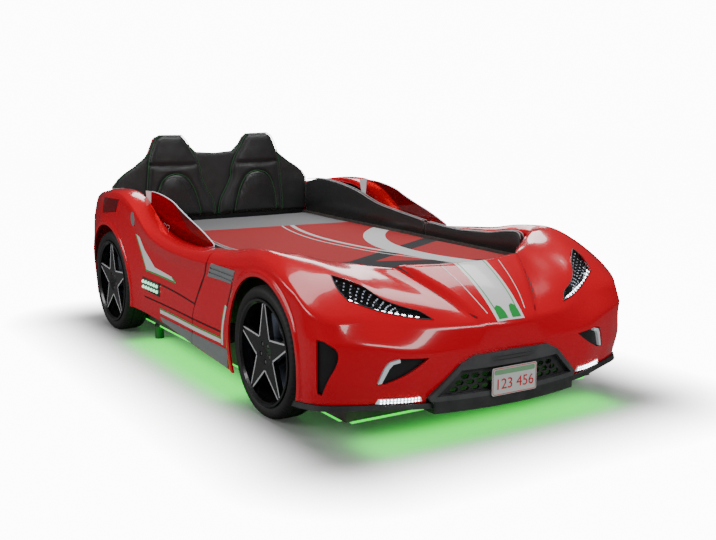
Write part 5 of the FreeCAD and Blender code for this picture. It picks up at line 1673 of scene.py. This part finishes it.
@dataclass
class SidePad:
    """A padded panel on a side board's upper edge, swept along its crest."""

    name: str
    crest: tuple[tuple[float, float], ...]
    round_top: float = 0.011
    swell: float = 0.0016
    skin: float = 0.0012
    waves: float = 37.0
    end_fall: float = 0.10
    end_share: float = 0.125
    piping: float = 0.0018
    piping_lift: float = 0.0005
    piping_insets: tuple[float, float] = (0.005, 0.020)

    def make(self) -> None:
        """Build the pad and its piping on both sides."""
        line = np.array([(y * MM, z * MM, 0.0) for y, z in self.crest])
        path = smooth_path(line, 0.010)[:, :2]
        sections = [self._section(y, z, k / (len(path) - 1)) for k, (y, z) in enumerate(path)]
        count = len(sections[0])
        faces = grid_faces(len(path), count) + end_caps(len(path), count)
        pad = new_piece(self.name + "_cushion_right", np.concatenate(sections), faces, LEATHER)
        twin = both_sides(pad)[1]
        for piece, node in ((pad, self.name + "_right"), (twin, self.name + "_left")):
            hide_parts(node)
        for inset, word in zip(self.piping_insets, ("inner", "outer")):
            cord = along_bed(path + (0.0, self.piping_lift), PAD_INNER + inset)
            both_sides(tube(f"{self.name}_{word}_piping_right", cord[1:-1], self.piping, GREY_PIPING))

    def _section(self, y: float, top: float, share: float) -> Array:
        """One cross-section of the pad.

        Args:
            y: its place along the bed.
            top: the crest's height there.
            share: how far along the crest it lies, from 0 to 1.

        Returns:
            The section's points in turn.
        """
        near_end = max(1 - share / self.end_share, 0.0, 1 - (1 - share) / self.end_share)
        ends = 1 - self.end_fall * near_end ** 2
        top = BOARD_TOP + (top - BOARD_TOP) * ends
        wave = self.swell * math.sin(y * self.waves) * 0.5
        right, left = PAD_OUTER + wave - self.skin, PAD_INNER + self.skin - wave
        middle, half = (left + right) / 2, (right - left) / 2
        loop = [(left, BOARD_TOP), (left - self.swell, (BOARD_TOP + top) / 2)]
        for turn in np.linspace(math.pi, 0.0, 7):
            loop.append((middle + math.cos(turn) * half, top + (math.sin(turn) - 1) * self.round_top))
        loop += [(right + self.swell, (BOARD_TOP + top) / 2), (right, BOARD_TOP)]
        return np.array([(x, y, z) for x, z in loop])


# ---- bedding
MATTRESS_LOW = (-0.450, -0.916, 0.250)
MATTRESS_HIGH = (0.450, 0.984, 0.420)
COVER_DROP = 0.112
COVER_ROUND = 0.026
COVER_GAP = 0.003


class Print(Enum):
    """Colours of the coverlet's print."""

    FIELD = (0.27, 0.011, 0.013)
    FIELD_TWO = (0.33, 0.018, 0.020)
    BAND = (0.17, 0.17, 0.175)
    LIGHT = (0.46, 0.46, 0.46)
    DARK = (0.020, 0.020, 0.022)


@dataclass(frozen=True)
class CoverletFinish(Finish):
    """Cotton cloth with a print of plain bands and arcs and a block at the head.

    A band is its slope, its place along Y and half its width. An arc is its centre, its radius and
    half its width. The block is its edge's slope and place along Y.
    """

    bands: tuple[Place, ...] = ((0.45, -0.50, 0.07), (-0.60, -0.34, 0.045), (0.45, -0.70, 0.030))
    arcs: tuple[tuple[tuple[float, float], float, float], ...] = (
        ((0.95, -0.30), 0.78, 0.045), ((-0.85, -0.72), 0.58, 0.045), ((0.10, -1.10), 0.50, 0.030),
        ((1.60, 0.10), 1.52, 0.010), ((1.60, 0.10), 1.565, 0.004))
    block: tuple[float, float] = (0.12, 0.60)
    def paint(self, bench: NodeBench, place: Socket, tone: Socket) -> Socket:
        """The print's colour.

        Args:
            bench: the material's bench.
            place: the socket of the position on the cloth.
            tone: the socket of the weave's tone.

        Returns:
            The colour's socket.
        """
        x, y, _ = bench.axes(place)
        colour = super().paint(bench, place, tone)
        for slope, start, half in self.bands:
            line = bench.math("ADD", y, bench.math("MULTIPLY", x, slope))
            colour = bench.mix(self._band(bench, line, start, half), colour, Print.DARK.value)
        for centre, radius, half in self.arcs:
            colour = bench.mix(self._arc(bench, (x, y), centre, radius, half), colour, Print.LIGHT.value)
        slope, start = self.block
        line = bench.math("ADD", y, bench.math("MULTIPLY", x, slope))
        return bench.mix(bench.math("GREATER_THAN", line, start), colour, Print.BAND.value)

    def _band(self, bench: NodeBench, value: Socket, centre: float, half: float) -> Socket:
        """1 where a value lies within half of a centre."""
        away = bench.math("ABSOLUTE", bench.math("SUBTRACT", value, centre))
        return bench.math("LESS_THAN", away, half)

    def _arc(self, bench: NodeBench, place: tuple[Socket, Socket], centre: tuple[float, float],
             radius: float, half: float) -> Socket:
        """1 on a ring round a centre.

        Args:
            bench: the material's bench.
            place: the sockets of the position along X and Y.
            centre: the ring's centre.
            radius: the radius of its middle line.
            half: half its width.

        Returns:
            The mask's socket.
        """
        squares = []
        for value, middle in zip(place, centre):
            away = bench.math("ABSOLUTE", bench.math("SUBTRACT", value, middle))
            squares.append(bench.math("POWER", away, 2.0))
        return self._band(bench, bench.math("SQRT", bench.math("ADD", *squares)), radius, half)


COVERLET = CoverletFinish("coverlet_print", Print.FIELD.value, Print.FIELD_TWO.value, Grain.WEAVE,
                          roughness=0.9, bump=0.35, bump_distance=0.0005, specular=0.25)


@dataclass
class Bedding:
    """The mattress and the cover laid over it."""

    step: float = 0.012
    corner: float = 0.035
    cord: float = 0.003
    cord_heights: tuple[float, float] = (0.006, 0.148)
    corner_cut: float = 0.6
    ripple: float = 0.0014
    ripple_rate: tuple[float, float] = (5.0, 4.0)
    hang: float = 0.0016
    hang_rate: tuple[float, float] = (19.0, 23.0)
    hang_full: float = 0.1

    def make(self) -> None:
        """Build the mattress with its border cords, and the cover."""
        low, high = MATTRESS_LOW, MATTRESS_HIGH
        loop = rounded_rectangle(low[0], high[0], low[1], high[1], self.corner, 0.018)
        mattress = Cushion("mattress_body", loop, high[2] - low[2], KNIT, 0.020, 0.002, creases=0.0008,
                           step=0.03, plane="xy", front=low[2], body="mattress_set").make()
        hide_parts("mattress")
        for rise, word in zip(self.cord_heights, ("lower", "upper")):
            path = np.stack([loop[:, 0] * 1.001, loop[:, 1], np.full(len(loop), low[2] + rise)], axis=1)
            tube("mattress_cord_" + word, path, self.cord, KNIT, True, "mattress_set")
        self._cover()

    def _cover(self) -> None:
        """The cover: one cloth whose four sides hang down between mattress and boards."""
        foot, head = MATTRESS_LOW[1] - COVER_GAP, MATTRESS_HIGH[1] + COVER_GAP
        middle = (head + foot) / 2
        flat_x, flat_y = MATTRESS_HIGH[0] + COVER_GAP - COVER_ROUND, (head - foot) / 2 - COVER_ROUND
        across, along = self._axis(flat_x), self._axis(flat_y)
        cut = COVER_ROUND * math.pi / 2 * self.corner_cut
        points, number = [], {}
        for i, s in enumerate(across):
            for k, t in enumerate(along):
                if abs(s) > flat_x + cut and abs(t) > flat_y + cut:
                    continue
                x, down_x = self._bent(s, flat_x)
                y, down_y = self._bent(t, flat_y)
                drop = down_x + down_y
                ripples = Vector((s * self.ripple_rate[0], t * self.ripple_rate[1], 2.0))
                wave = self.ripple * noise.noise(ripples)
                sway = math.sin(s * self.hang_rate[0] + t * self.hang_rate[1])
                hang = self.hang * sway * min(drop / self.hang_full, 1.0)
                number[i, k] = len(points)
                points.append((x + math.copysign(hang, x), y + middle + math.copysign(hang, y),
                               MATTRESS_HIGH[2] + COVER_GAP + wave - drop))
        faces = []
        for i in range(len(across) - 1):
            for k in range(len(along) - 1):
                ring = [(i, k), (i + 1, k), (i + 1, k + 1), (i, k + 1)]
                if all(place in number for place in ring):
                    faces.append(tuple(number[place] for place in ring))
        cover = new_piece("coverlet_cloth", np.array(points), faces, COVERLET, "mattress_set")
        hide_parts("coverlet")

    def _axis(self, flat: float) -> Array:
        """Even places across the cloth, from one hem to the other."""
        half = flat + COVER_ROUND * math.pi / 2 + COVER_DROP - COVER_ROUND
        return np.linspace(-half, half, 2 * int(half / self.step) + 1)

    def _bent(self, place: float, flat: float) -> tuple[float, float]:
        """Bend the cloth over the mattress's edge.

        Args:
            place: a distance from the cloth's middle, along the cloth.
            flat: how far the cloth lies flat from its middle.

        Returns:
            Where the place lies across, and how far it has come down.
        """
        over = abs(place) - flat
        if over <= 0:
            return place, 0.0
        turn = min(over / COVER_ROUND, math.pi / 2)
        rest = over - turn * COVER_ROUND
        return (math.copysign(flat + COVER_ROUND * math.sin(turn), place),
                COVER_ROUND * (1 - math.cos(turn)) + rest)


def rounded_rectangle(x0: float, x1: float, y0: float, y1: float, radius: float, step: float) -> Array:
    """A closed rectangle with round corners, as an even loop.

    Args:
        x0: its left side.
        x1: its right side.
        y0: its lower side.
        y1: its upper side.
        radius: the radius of its corners.
        step: distance between the loop's points.

    Returns:
        The loop's points.
    """
    corners = []
    for cx, cy, start in ((x1 - radius, y1 - radius, 0), (x0 + radius, y1 - radius, 1),
                          (x0 + radius, y0 + radius, 2), (x1 - radius, y0 + radius, 3)):
        for k in range(7):
            turn = (start + k / 6) * math.pi / 2
            corners.append((cx + radius * math.cos(turn), cy + radius * math.sin(turn)))
    return even_path(np.array(corners + corners[:1]), step, True)


# ---- wheels
TYRE_IN = 0.486
TYRE_OUT = 0.590
TYRE_SECTION = ((0.172, 0.006), (0.185, 0.001), (0.196, 0.0), (0.204, 0.006), (0.2095, 0.018),
                (0.211, 0.034), (0.211, 0.052), (0.211, 0.070), (0.2095, 0.086), (0.205, 0.096),
                (0.198, 0.1025), (0.190, 0.104), (0.182, 0.1035), (0.177, 0.1015), (0.172, 0.098),
                (0.169, 0.094))


@dataclass
class Wheel:
    """One road wheel: tyre with shoulder sipes, turned spoke edges, ring and cap."""

    name: str
    axle: float
    around: int = 288
    sipe_every: int = 4
    sipe_depth: float = 0.0030
    sipe_width: float = 0.010
    sipe_places: tuple[float, float] = (0.010, 0.094)
    sipe_inner: float = 0.196
    groove_depth: float = 0.005
    groove_width: float = 0.0028
    groove_places: tuple[float, float] = (0.036, 0.068)
    groove_inner: float = 0.2
    spokes: int = 5
    spoke_face: float = 0.5805
    spoke_tip: float = 0.163
    spoke_root: float = 0.060
    spoke_half_angle: float = 0.048
    line_width: float = 0.0052
    line_depth: float = 0.002
    bright_ring: tuple[float, float] = (0.1625, 0.1665)
    bright_sink: float = 0.0045
    cap_ring: tuple[float, float] = (0.0165, 0.0195)
    cap_ring_sink: float = 0.007
    cap: tuple[float, float] = (0.0, 0.0165)
    cap_sink: float = 0.008
    ring_sides: int = 96
    brim: float = 0.001
    brim_rise: float = 0.0008
    def make(self) -> None:
        """Build the wheel's own pieces on the right and their twins on the left."""
        right, left = both_sides(self._tyre())
        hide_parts(f"tyre_{self.name}_right")
        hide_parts(f"tyre_{self.name}_left")
        both_sides(self._spoke_lines())
        both_sides(self._ring("rim_bright_ring", *self.bright_ring, TYRE_OUT - self.bright_sink, RIM_BRIGHT))
        both_sides(self._ring("rim_cap_ring", *self.cap_ring, self.spoke_face - self.cap_ring_sink,
                              RIM_BRIGHT))
        both_sides(self._ring("rim_cap", *self.cap, self.spoke_face - self.cap_sink, RIM_DARK))

    def _spin(self, radius: Array, turns: Array, x: Array) -> Array:
        """Points round the wheel's axis."""
        y, z = self.axle + radius * np.sin(turns), WHEEL_RADIUS + radius * np.cos(turns)
        return np.stack([x, y, z], axis=-1)

    def _tyre(self) -> Piece:
        """Sweep the tyre round, with sipes pressed into its shoulders.

        Returns:
            The right tyre.
        """
        line = smooth_path(np.array([(r, x, 0.0) for r, x in TYRE_SECTION]), 0.0035)[:, :2]
        turns = np.arange(self.around) * 2 * math.pi / self.around
        radius = np.tile(line[:, 0], (self.around, 1))
        x = np.tile(line[:, 1], (self.around, 1))
        notch = (np.arange(self.around) % self.sipe_every == 0)[:, None]
        shoulder = sum(np.exp(-((x - place) / self.sipe_width) ** 2) for place in self.sipe_places)
        groove = sum(np.exp(-((x - place) / self.groove_width) ** 2) for place in self.groove_places)
        radius = (radius - self.sipe_depth * notch * shoulder * (radius > self.sipe_inner)
                  - self.groove_depth * groove * (radius > self.groove_inner))
        points = self._spin(np.minimum(radius, WHEEL_RADIUS), turns[:, None] + 0 * x, TYRE_IN + x)
        faces = grid_faces(self.around, len(line), rows_closed=True, columns_closed=False, flipped=True)
        return new_piece(f"tyre_{self.name}_tread_right", points.reshape(-1, 3), faces, RUBBER)

    def _spoke_lines(self) -> Piece:
        """Build the thin turned faces along both edges of every spoke.

        Returns:
            The right wheel's lines, as one piece.
        """
        points, faces = [], []
        for k in range(self.spokes):
            middle = 2 * math.pi * k / self.spokes
            for side in (-1, 1):
                tip = self._polar(self.spoke_tip, middle + side * self.spoke_half_angle)
                root = self._polar(self.spoke_root, middle + side * math.pi / self.spokes)
                run = (root - tip) / np.linalg.norm(root - tip)
                across = np.array([run[1], -run[0]]) * side * self.line_width
                ring = (tip, root, root + across, tip + across)
                foot, top = ([(x, self.axle + y, WHEEL_RADIUS + z) for y, z in ring]
                             for x in (self.spoke_face - self.line_depth, self.spoke_face))
                add_block(points, faces, foot, top, turned=side > 0)
        return new_piece(f"rim_{self.name}_lines_right", np.array(points), faces, RIM_BRIGHT, smooth=False)

    def _polar(self, radius: float, turn: float) -> Array:
        """A point of the wheel's face as (y, z) from the axle."""
        return np.array([radius * math.sin(turn), radius * math.cos(turn)])

    def _ring(self, name: str, inner: float, outer: float, x: float, finish: Finish) -> Piece:
        """Build a flat ring or disc with a rounded brim on the wheel's axis.

        Args:
            name: the first part of its name.
            inner: its inner radius.
            outer: its outer radius.
            x: the place of its face.
            finish: its finish.

        Returns:
            The right wheel's ring.
        """
        rows = ((inner, x - self.brim), (inner, x), ((inner + outer) / 2, x + self.brim_rise), (outer, x),
                (outer, x - self.brim))
        sides = self.ring_sides
        turns = np.arange(sides) * 2 * math.pi / sides
        points = np.concatenate([self._spin(np.full(sides, r), turns, np.full(sides, at)) for r, at in rows])
        faces = grid_faces(len(rows), sides, flipped=True)
        return new_piece(f"{name}_{self.name}_right", points, faces, finish)


# ---- lamps and trims
LED_ROW: Points = [(466, -928, 424), (430, -958, 404), (380, -988, 392), (330, -1014, 382), (288, -1036, 376)]
LAMP_SINK = 0.0085


def on_form(coords: Array) -> Spots:
    """Points of the body form with their outward directions, at (u, v) rows."""
    return list(zip(FORM.at(*coords.T), FORM.normal(*coords.T)))


def lamp_dots(name: str, places: Spots, radius: float, finish: Finish) -> Piece:
    """Small domed lamps, as one piece.

    Args:
        name: the piece's name.
        places: each lamp's middle and the direction that it faces.
        radius: their radius.
        finish: their finish.

    Returns:
        The new object.
    """
    points, faces = [], []
    dome = ((1.0, 0.0), (0.86, 0.5), (0.5, 0.9))
    tip = DOT_SIDES * len(dome)
    last = tip - DOT_SIDES
    cap = grid_faces(len(dome), DOT_SIDES)
    cap += [(last + k, last + (k + 1) % DOT_SIDES, tip) for k in range(DOT_SIDES)]
    turns = np.arange(DOT_SIDES) * 2 * math.pi / DOT_SIDES
    for middle, out in places:
        side = np.cross(out, (0.0, 0.0, 1.0))
        side /= np.linalg.norm(side)
        up = np.cross(side, out)
        first = len(points)
        for size, rise in dome:
            for turn in turns:
                away = (side * math.cos(turn) + up * math.sin(turn)) * size
                points.append(middle + (away + out * rise) * radius)
        points.append(middle + out * radius)
        faces += [tuple(first + k for k in face) for face in cap]
    return new_piece(name, np.array(points), faces, finish)


@dataclass
class Headlamps:
    """Light signatures behind the clear covers.

    sign_stem and sign_foot hold the two bars of a light: their ends along the row, then across it.
    """

    signs: int = 11
    sign_stem: tuple[float, float, float, float] = (-0.0055, 0.0055, -0.0012, 0.0012)
    sign_foot: tuple[float, float, float, float] = (-0.0013, 0.0013, 0.0012, 0.0095)
    sign_depth: float = 0.0025
    dot_rows: int = 4
    dot_columns: int = 9
    dot_start: float = 0.18
    dot_spread: float = 0.60
    dot_radius: float = 0.0028
    rim: float = 0.0016
    rim_inset: float = 0.001

    def make(self) -> None:
        """Build the row of T lights, the dots and the thin rim of each lamp."""
        row = smooth_path(drawn(LED_ROW), 0.004)
        picks = np.linspace(2, len(row) - 3, self.signs).astype(int)
        points, faces = [], []
        for (middle, out), pick in zip(on_form(FORM.locate(row[picks], HEADLAMP_AIM)), picks):
            ahead = row[min(pick + 1, len(row) - 1)] - row[pick - 1]
            along = ahead - out * (ahead @ out)
            along /= np.linalg.norm(along)
            across = np.cross(out, along)
            for left, right, low, high in (self.sign_stem, self.sign_foot):
                corners = ((left, low), (right, low), (right, high), (left, high))
                foot = [middle - out * LAMP_SINK + along * a + across * c for a, c in corners]
                add_block(points, faces, foot, [corner + out * self.sign_depth for corner in foot])
        signs = new_piece("headlamp_signs_right", np.array(points), faces, WHITE_GLOW, smooth=False)
        both_sides(signs)
        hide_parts("headlamp_leds")
        both_sides(lamp_dots("headlamp_dots_right", self._dots(), self.dot_radius, LAMP_GLOW_AND_PAINTED_HIGHLIGHT))
        edge = FORM.at(*outline_on_form(HEADLAMP, HEADLAMP_AIM, HEADLAMP_CURVES, -self.rim_inset).T)
        both_sides(tube("headlamp_rim_right", edge, self.rim, BLACK_TRIM, True))

    def _dots(self) -> Spots:
        """Spread the dots in rows that follow the lamp's upper edge.

        Returns:
            Each dot's middle and the direction that it faces.
        """
        top = smooth_path(drawn([HEADLAMP[k] for k in (0, 9, 8, 7)]), 0.004)
        foot = smooth_path(drawn(LED_ROW[:4]), 0.004)
        places = []
        for i in range(self.dot_rows):
            for k in range(self.dot_columns):
                share = (k + 0.7 + (i % 2) / 2) / (self.dot_columns + 1)
                upper = top[int(share * (len(top) - 1))]
                lower = foot[int(share * (len(foot) - 1))]
                down = self.dot_start + self.dot_spread * i / (self.dot_rows - 1)
                places.append(upper + (lower - upper) * down)
        spots = on_form(FORM.locate(np.array(places), HEADLAMP_AIM))
        return [(middle - out * LAMP_SINK, out) for middle, out in spots]


@dataclass
class SmallLamps:
    """Dots on the front light bars and the green lamps of the side panels."""

    lift: float = 0.0028
    bar_radius: float = 0.0026
    panel_radius: float = 0.0072

    def make(self) -> None:
        """Build every row of small lamps."""
        bar = [(x, -1070 + (x - 300) * 0.25, z) for x in range(312, 432, 10) for z in (133, 141)]
        both_sides(lamp_dots("front_bar_dots_right", self._raised(bar, FOG_AIM), self.bar_radius, WHITE_GLOW))
        panel = [(588, y, z) for y in range(276, 420, 27) for z in (254, 275)]
        both_sides(lamp_dots("side_panel_dots_right", self._raised(panel, ACROSS), self.panel_radius,
                             GREEN_LAMP))

    def _raised(self, points: Points, aim: Place) -> Spots:
        """Places over the body form, each with the direction that it faces."""
        spots = on_form(FORM.locate(drawn(points), aim))
        return [(middle + out * self.lift, out) for middle, out in spots]


@dataclass
class Plate:
    """Number plate face with plain digits and a band."""

    text: str = "123 456"
    middle: tuple[float, float] = (0.0, 0.1635)
    front: float = -1.119
    digit_size: float = 0.046
    digit_drop: float = 0.010
    digit_rise: float = 0.0006
    digit_gap: float = 0.0002
    band_half: float = 0.078
    band_foot: float = 0.021
    band_top: float = 0.036
    band_rise: float = 0.0005
    band_corner: float = 0.005
    border_half: tuple[float, float] = (0.0825, 0.0395)
    border_corner: float = 0.006
    border_sink: float = 0.0002
    border_cord: float = 0.0012

    def make(self) -> None:
        """Build the digits, the raised band and the border."""
        x, z = self.middle
        letters = bpy.data.curves.new("plate_digits", "FONT")
        letters.body = self.text
        letters.size = self.digit_size
        letters.extrude = self.digit_rise
        letters.align_x = "CENTER"
        letters.align_y = "CENTER"
        shape = bpy.data.objects.new("plate_digits_shape", letters)
        bpy.context.scene.collection.objects.link(shape)
        bpy.context.view_layer.update()
        mesh = bpy.data.meshes.new_from_object(shape)
        bpy.data.objects.remove(shape)
        points = np.array([(x + v.co.x, self.front - self.digit_gap - v.co.z, z - self.digit_drop + v.co.y)
                           for v in mesh.vertices])
        faces = [tuple(face.vertices) for face in mesh.polygons]
        new_piece("plate_digits", points, faces, PLATE_INK, smooth=False)
        loop = rounded_rectangle(x - self.band_half, x + self.band_half, z + self.band_foot,
                                 z + self.band_top, self.band_corner, 0.004)
        points = np.concatenate([upright(loop, self.front - rise) for rise in (0.0, self.band_rise)])
        faces = [tuple(range(len(loop), 2 * len(loop)))] + grid_faces(2, len(loop))
        new_piece("plate_band", points, faces, PLATE_GREEN, smooth=False)
        wide, high = self.border_half
        border = rounded_rectangle(x - wide, x + wide, z - high, z + high, self.border_corner, 0.005)
        tube("plate_border", upright(border, self.front + self.border_sink), self.border_cord, PLATE_INK,
             True)


# ---- windows, and finishes of the pieces that the scene carries over
WINDOW = ((529, 493), (487, 477), (392, 461), (240, 446), (49, 449), (-84, 470), (-84, 478), (-16, 502),
          (46, 521), (136, 545), (230, 573), (278, 589), (348, 602), (430, 611), (512, 613))
WINDOW_CURVES = ((0, 5), (6, 8))


@dataclass
class WindowTrim:
    """Glowing edge strips, a painted highlight along the window edges, and small outlined tabs on the tinted
    windows.
    """

    face: float = 0.5101
    edge_sink: float = 0.0026
    edge: float = 0.0021
    marks: tuple[float, ...] = (0.330, 0.372, 0.414)
    mark_length: float = 0.030
    mark_foot: float = 0.485
    mark_height: float = 0.012
    mark_climb: float = 0.004
    mark_cord: float = 0.0007

    def make(self) -> None:
        """Build the glowing edge strips, a painted highlight, and the outlines on both sides."""
        window: Points = [(510, y, z) for y, z in WINDOW]
        path = outline_path(drawn(window), WINDOW_CURVES, 0.006)
        path[:, 0] = self.face - self.edge_sink
        # Painted highlight: a glowing cord along each window's edge stands in for the bright highlight on the
        # acrylic's edge.
        both_sides(tube("window_edge_right", path, self.edge, LAMP_GLOW_AND_PAINTED_HIGHLIGHT, True))
        for k, y in enumerate(self.marks):
            foot = self.mark_foot + self.mark_climb * k
            loop = rounded_rectangle(y, y + self.mark_length, foot, foot + self.mark_height, 0.004, 0.003)
            both_sides(tube(f"window_mark_{k + 1}_right", along_bed(loop, self.face), self.mark_cord,
                            WHITE_FILM, True))


NODE_FINISHES: tuple[tuple[Finish, tuple[str, ...]], ...] = (
    (BOARD, ("side_board_right", "side_board_left", "foot_board", "body_supports")),
    (RED_BOARD, ("headboard_board",)),
    (PLATED, ("board_bolts", "wheel_bolts", "window_screws")),
    (SLAT, ("mattress_ledges", "centre_beam", "centre_legs", "base_slats")),
    (BLACK_TRIM, ("glide_feet", "grille_mesh", "splitter", "fog_intakes", "fender_inlets",
                  "side_light_panels", "control_unit", "power_inlet")),
    (GREY_TRIM, ("grille_surround", "power_switch")),
    (PLATE_FACE, ("number_plate",)),
    (LAMP_BLACK, ("headlamp_trays",)),
    (LENS_CLEAR, ("headlamp_lenses",)),
    (WHITE_TRIM, ("daylight_strips",)),
    (LAMP_GLOW_AND_PAINTED_HIGHLIGHT, ("front_light_bars",)),
    (SILVER_TRIM, ("side_vents", "sill_strips", "charge_caps")),
    (LENS_RED, ("tail_lamps",)),
    (BRAKE_STEEL, ("brake_discs",)),
    (CALIPER_GREY, ("brake_calipers",)),
    (RIM_DARK, ("rim_front_right", "rim_front_left", "rim_rear_right", "rim_rear_left")),
    (ACRYLIC, ("window_right", "window_left")),
    (WHITE_FILM, ("window_posts",)),
    (GREEN_GLOW, ("underglow_strips",)),
)


def finish_nodes() -> None:
    """Give every carried-over node its finish."""
    for finish, names in NODE_FINISHES:
        for name in names:
            node = frame["nodes"][name]
            if not node.material_slots:
                node.data.materials.append(None)
            for slot in node.material_slots:
                slot.material = finish.material()


# ---- studio
@dataclass
class Softbox:
    """A large soft light."""

    name: str
    place: Place
    target: Place
    size: tuple[float, float]
    power: float
    colour: Colour = (1.0, 1.0, 1.0)

    def make(self) -> None:
        """Hang the light and point it at its target."""
        data = bpy.data.lights.new(self.name, "AREA")
        data.shape = "RECTANGLE"
        data.size, data.size_y = self.size
        data.energy = self.power
        data.color = self.colour
        lamp = bpy.data.objects.new(self.name, data)
        lamp.location = self.place
        lamp.visible_camera = False
        aim = Vector(self.target) - Vector(self.place)
        lamp.rotation_euler = aim.to_track_quat("-Z", "Y").to_euler()
        bpy.context.scene.collection.objects.link(lamp)


@dataclass
class Studio:
    """Floor, lights, sky and camera."""

    camera_place: Place = (-1.98734, -3.43420, 1.03093)
    camera_turn: float = 0.5547
    camera_dip: float = 0.176
    lens: float = 52.32
    sensor: float = 36.0
    backdrop: float = 12.0
    floor_reach: float = 14.0
    # Camera-only floor glow: floor_lift everywhere, rising to the backdrop beyond a painted shadow band round
    # the bed's footprint.
    floor_lift: float = 0.03
    fade_start: float = 0.03
    painted_shadow_reach: float = 0.42
    fade_power: float = 1.9
    footprint: tuple[float, float] = (0.54, 1.04)
    sky_light: float = 0.40
    sky_mirror: float = 0.05

    def make(self) -> None:
        """Build the set round the bed."""
        floor = self._floor()
        self._sky()
        glow = (0.0, 1.0, 0.03)
        for box in (Softbox("top_softbox", (0.3, -0.1, 3.0), (0.0, -0.1, 0.3), (1.3, 3.4), 80.0),
                    Softbox("left_softbox", (-3.8, 0.6, 2.0), (0.0, 0.2, 0.4), (3.4, 0.7), 60.0),
                    Softbox("front_softbox", (0.8, -4.2, 2.3), (0.0, -0.8, 0.3), (2.8, 0.7), 55.0),
                    Softbox("rear_softbox", (1.8, 3.0, 2.6), (0.0, 0.6, 0.5), (2.6, 1.2), 60.0),
                    Softbox("glow_left", (-0.54, 0.1, 0.05), (-0.54, 0.1, 0.0), (0.17, 0.95), 2.2, glow),
                    Softbox("glow_right", (0.54, 0.1, 0.05), (0.54, 0.1, 0.0), (0.17, 0.95), 2.2, glow),
                    Softbox("glow_front", (0.0, -1.03, 0.05), (0.0, -1.03, 0.0), (0.95, 0.17), 2.1, glow)):
            box.make()
        data = bpy.data.cameras.new("photo_camera")
        data.lens = self.lens
        data.sensor_width = self.sensor
        camera = bpy.data.objects.new("photo_camera", data)
        camera.location = self.camera_place
        camera.rotation_euler = (math.pi / 2 - self.camera_dip, 0.0, -self.camera_turn)
        bpy.context.scene.collection.objects.link(camera)
        bpy.context.scene.camera = camera

    def _floor(self) -> Piece:
        """Build a wide plain floor whose camera-only glow stays low round the bed, a partly painted shadow
        band, and fades up into the backdrop away from the bed.

        Returns:
            The floor.
        """
        mesh = bpy.data.meshes.new("studio_floor")
        reach = self.floor_reach
        mesh.from_pydata([(-reach, -reach, 0), (reach, -reach, 0), (reach, reach, 0), (-reach, reach, 0)], [],
                         [(0, 1, 2, 3)])
        material = FLOOR.material()
        bench = NodeBench(material.node_tree)
        shader = material.node_tree.nodes["Principled BSDF"]
        path = bench.add("ShaderNodeLightPath")
        x, y, _ = bench.axes(bench.add("ShaderNodeTexCoord").outputs["Object"])
        # Partly painted shadow: the glow grows with distance from the bed's footprint, so a grey band stays
        # round the bed over the lamps' real shadow.
        squares = []
        for value, half in zip((x, y), self.footprint):
            over = bench.math("SUBTRACT", bench.math("ABSOLUTE", value), half)
            squares.append(bench.math("POWER", bench.math("MAXIMUM", over, 0.0), 2.0))
        away = bench.math("SQRT", bench.math("ADD", *squares))
        past = bench.math("SUBTRACT", away, self.fade_start)
        fade = bench.math("DIVIDE", past, self.painted_shadow_reach, clamp=True)
        lit = bench.math("MULTIPLY", bench.math("POWER", fade, self.fade_power), self.backdrop)
        shown = bench.math("ADD", lit, self.floor_lift)
        bench.join(bench.math("MULTIPLY", shown, path.outputs["Is Camera Ray"]),
                   shader.inputs["Emission Strength"])
        mesh.materials.append(material)
        floor = bpy.data.objects.new("studio_floor", mesh)
        bpy.context.scene.collection.objects.link(floor)
        return floor

    def _sky(self) -> None:
        """A white backdrop that lights the bed more softly than the camera sees it."""
        world = bpy.data.worlds.new("studio_sky")
        world.use_nodes = True
        bpy.context.scene.world = world
        bench = NodeBench(world.node_tree)
        sky = world.node_tree.nodes["Background"]
        path = bench.add("ShaderNodeLightPath")
        seen = bench.math("MULTIPLY", path.outputs["Is Camera Ray"], self.backdrop)
        mirrored = bench.math("MULTIPLY", path.outputs["Is Glossy Ray"], self.sky_light - self.sky_mirror)
        strength = bench.math("SUBTRACT", bench.math("ADD", seen, self.sky_light), mirrored)
        bench.join(strength, sky.inputs["Strength"])
        sky.inputs["Color"].default_value = (1.0, 1.0, 1.0, 1.0)


# ---- assembly
def main() -> None:
    """Dress the bed and its studio in order."""
    logging.basicConfig(level=logging.INFO, format="%(message)s")
    builders = (BodyShells(), BodyGraphics(), Wheel("front", FRONT_AXLE), Wheel("rear", REAR_AXLE),
                Headlamps(), SmallLamps(), Plate(), SeatBacks(), SidePad("side_pad_rear", REAR_PAD_TOP),
                SidePad("side_pad_front", FRONT_PAD_TOP), Bedding(), WindowTrim(), Studio())
    for builder in builders:
        before = set(bpy.data.objects.keys())
        builder.make()
        for name in sorted(set(bpy.data.objects.keys()) - before):
            log.info("%s made %s", type(builder).__name__, name)
    finish_nodes()


if __name__ == "__main__":
    main()
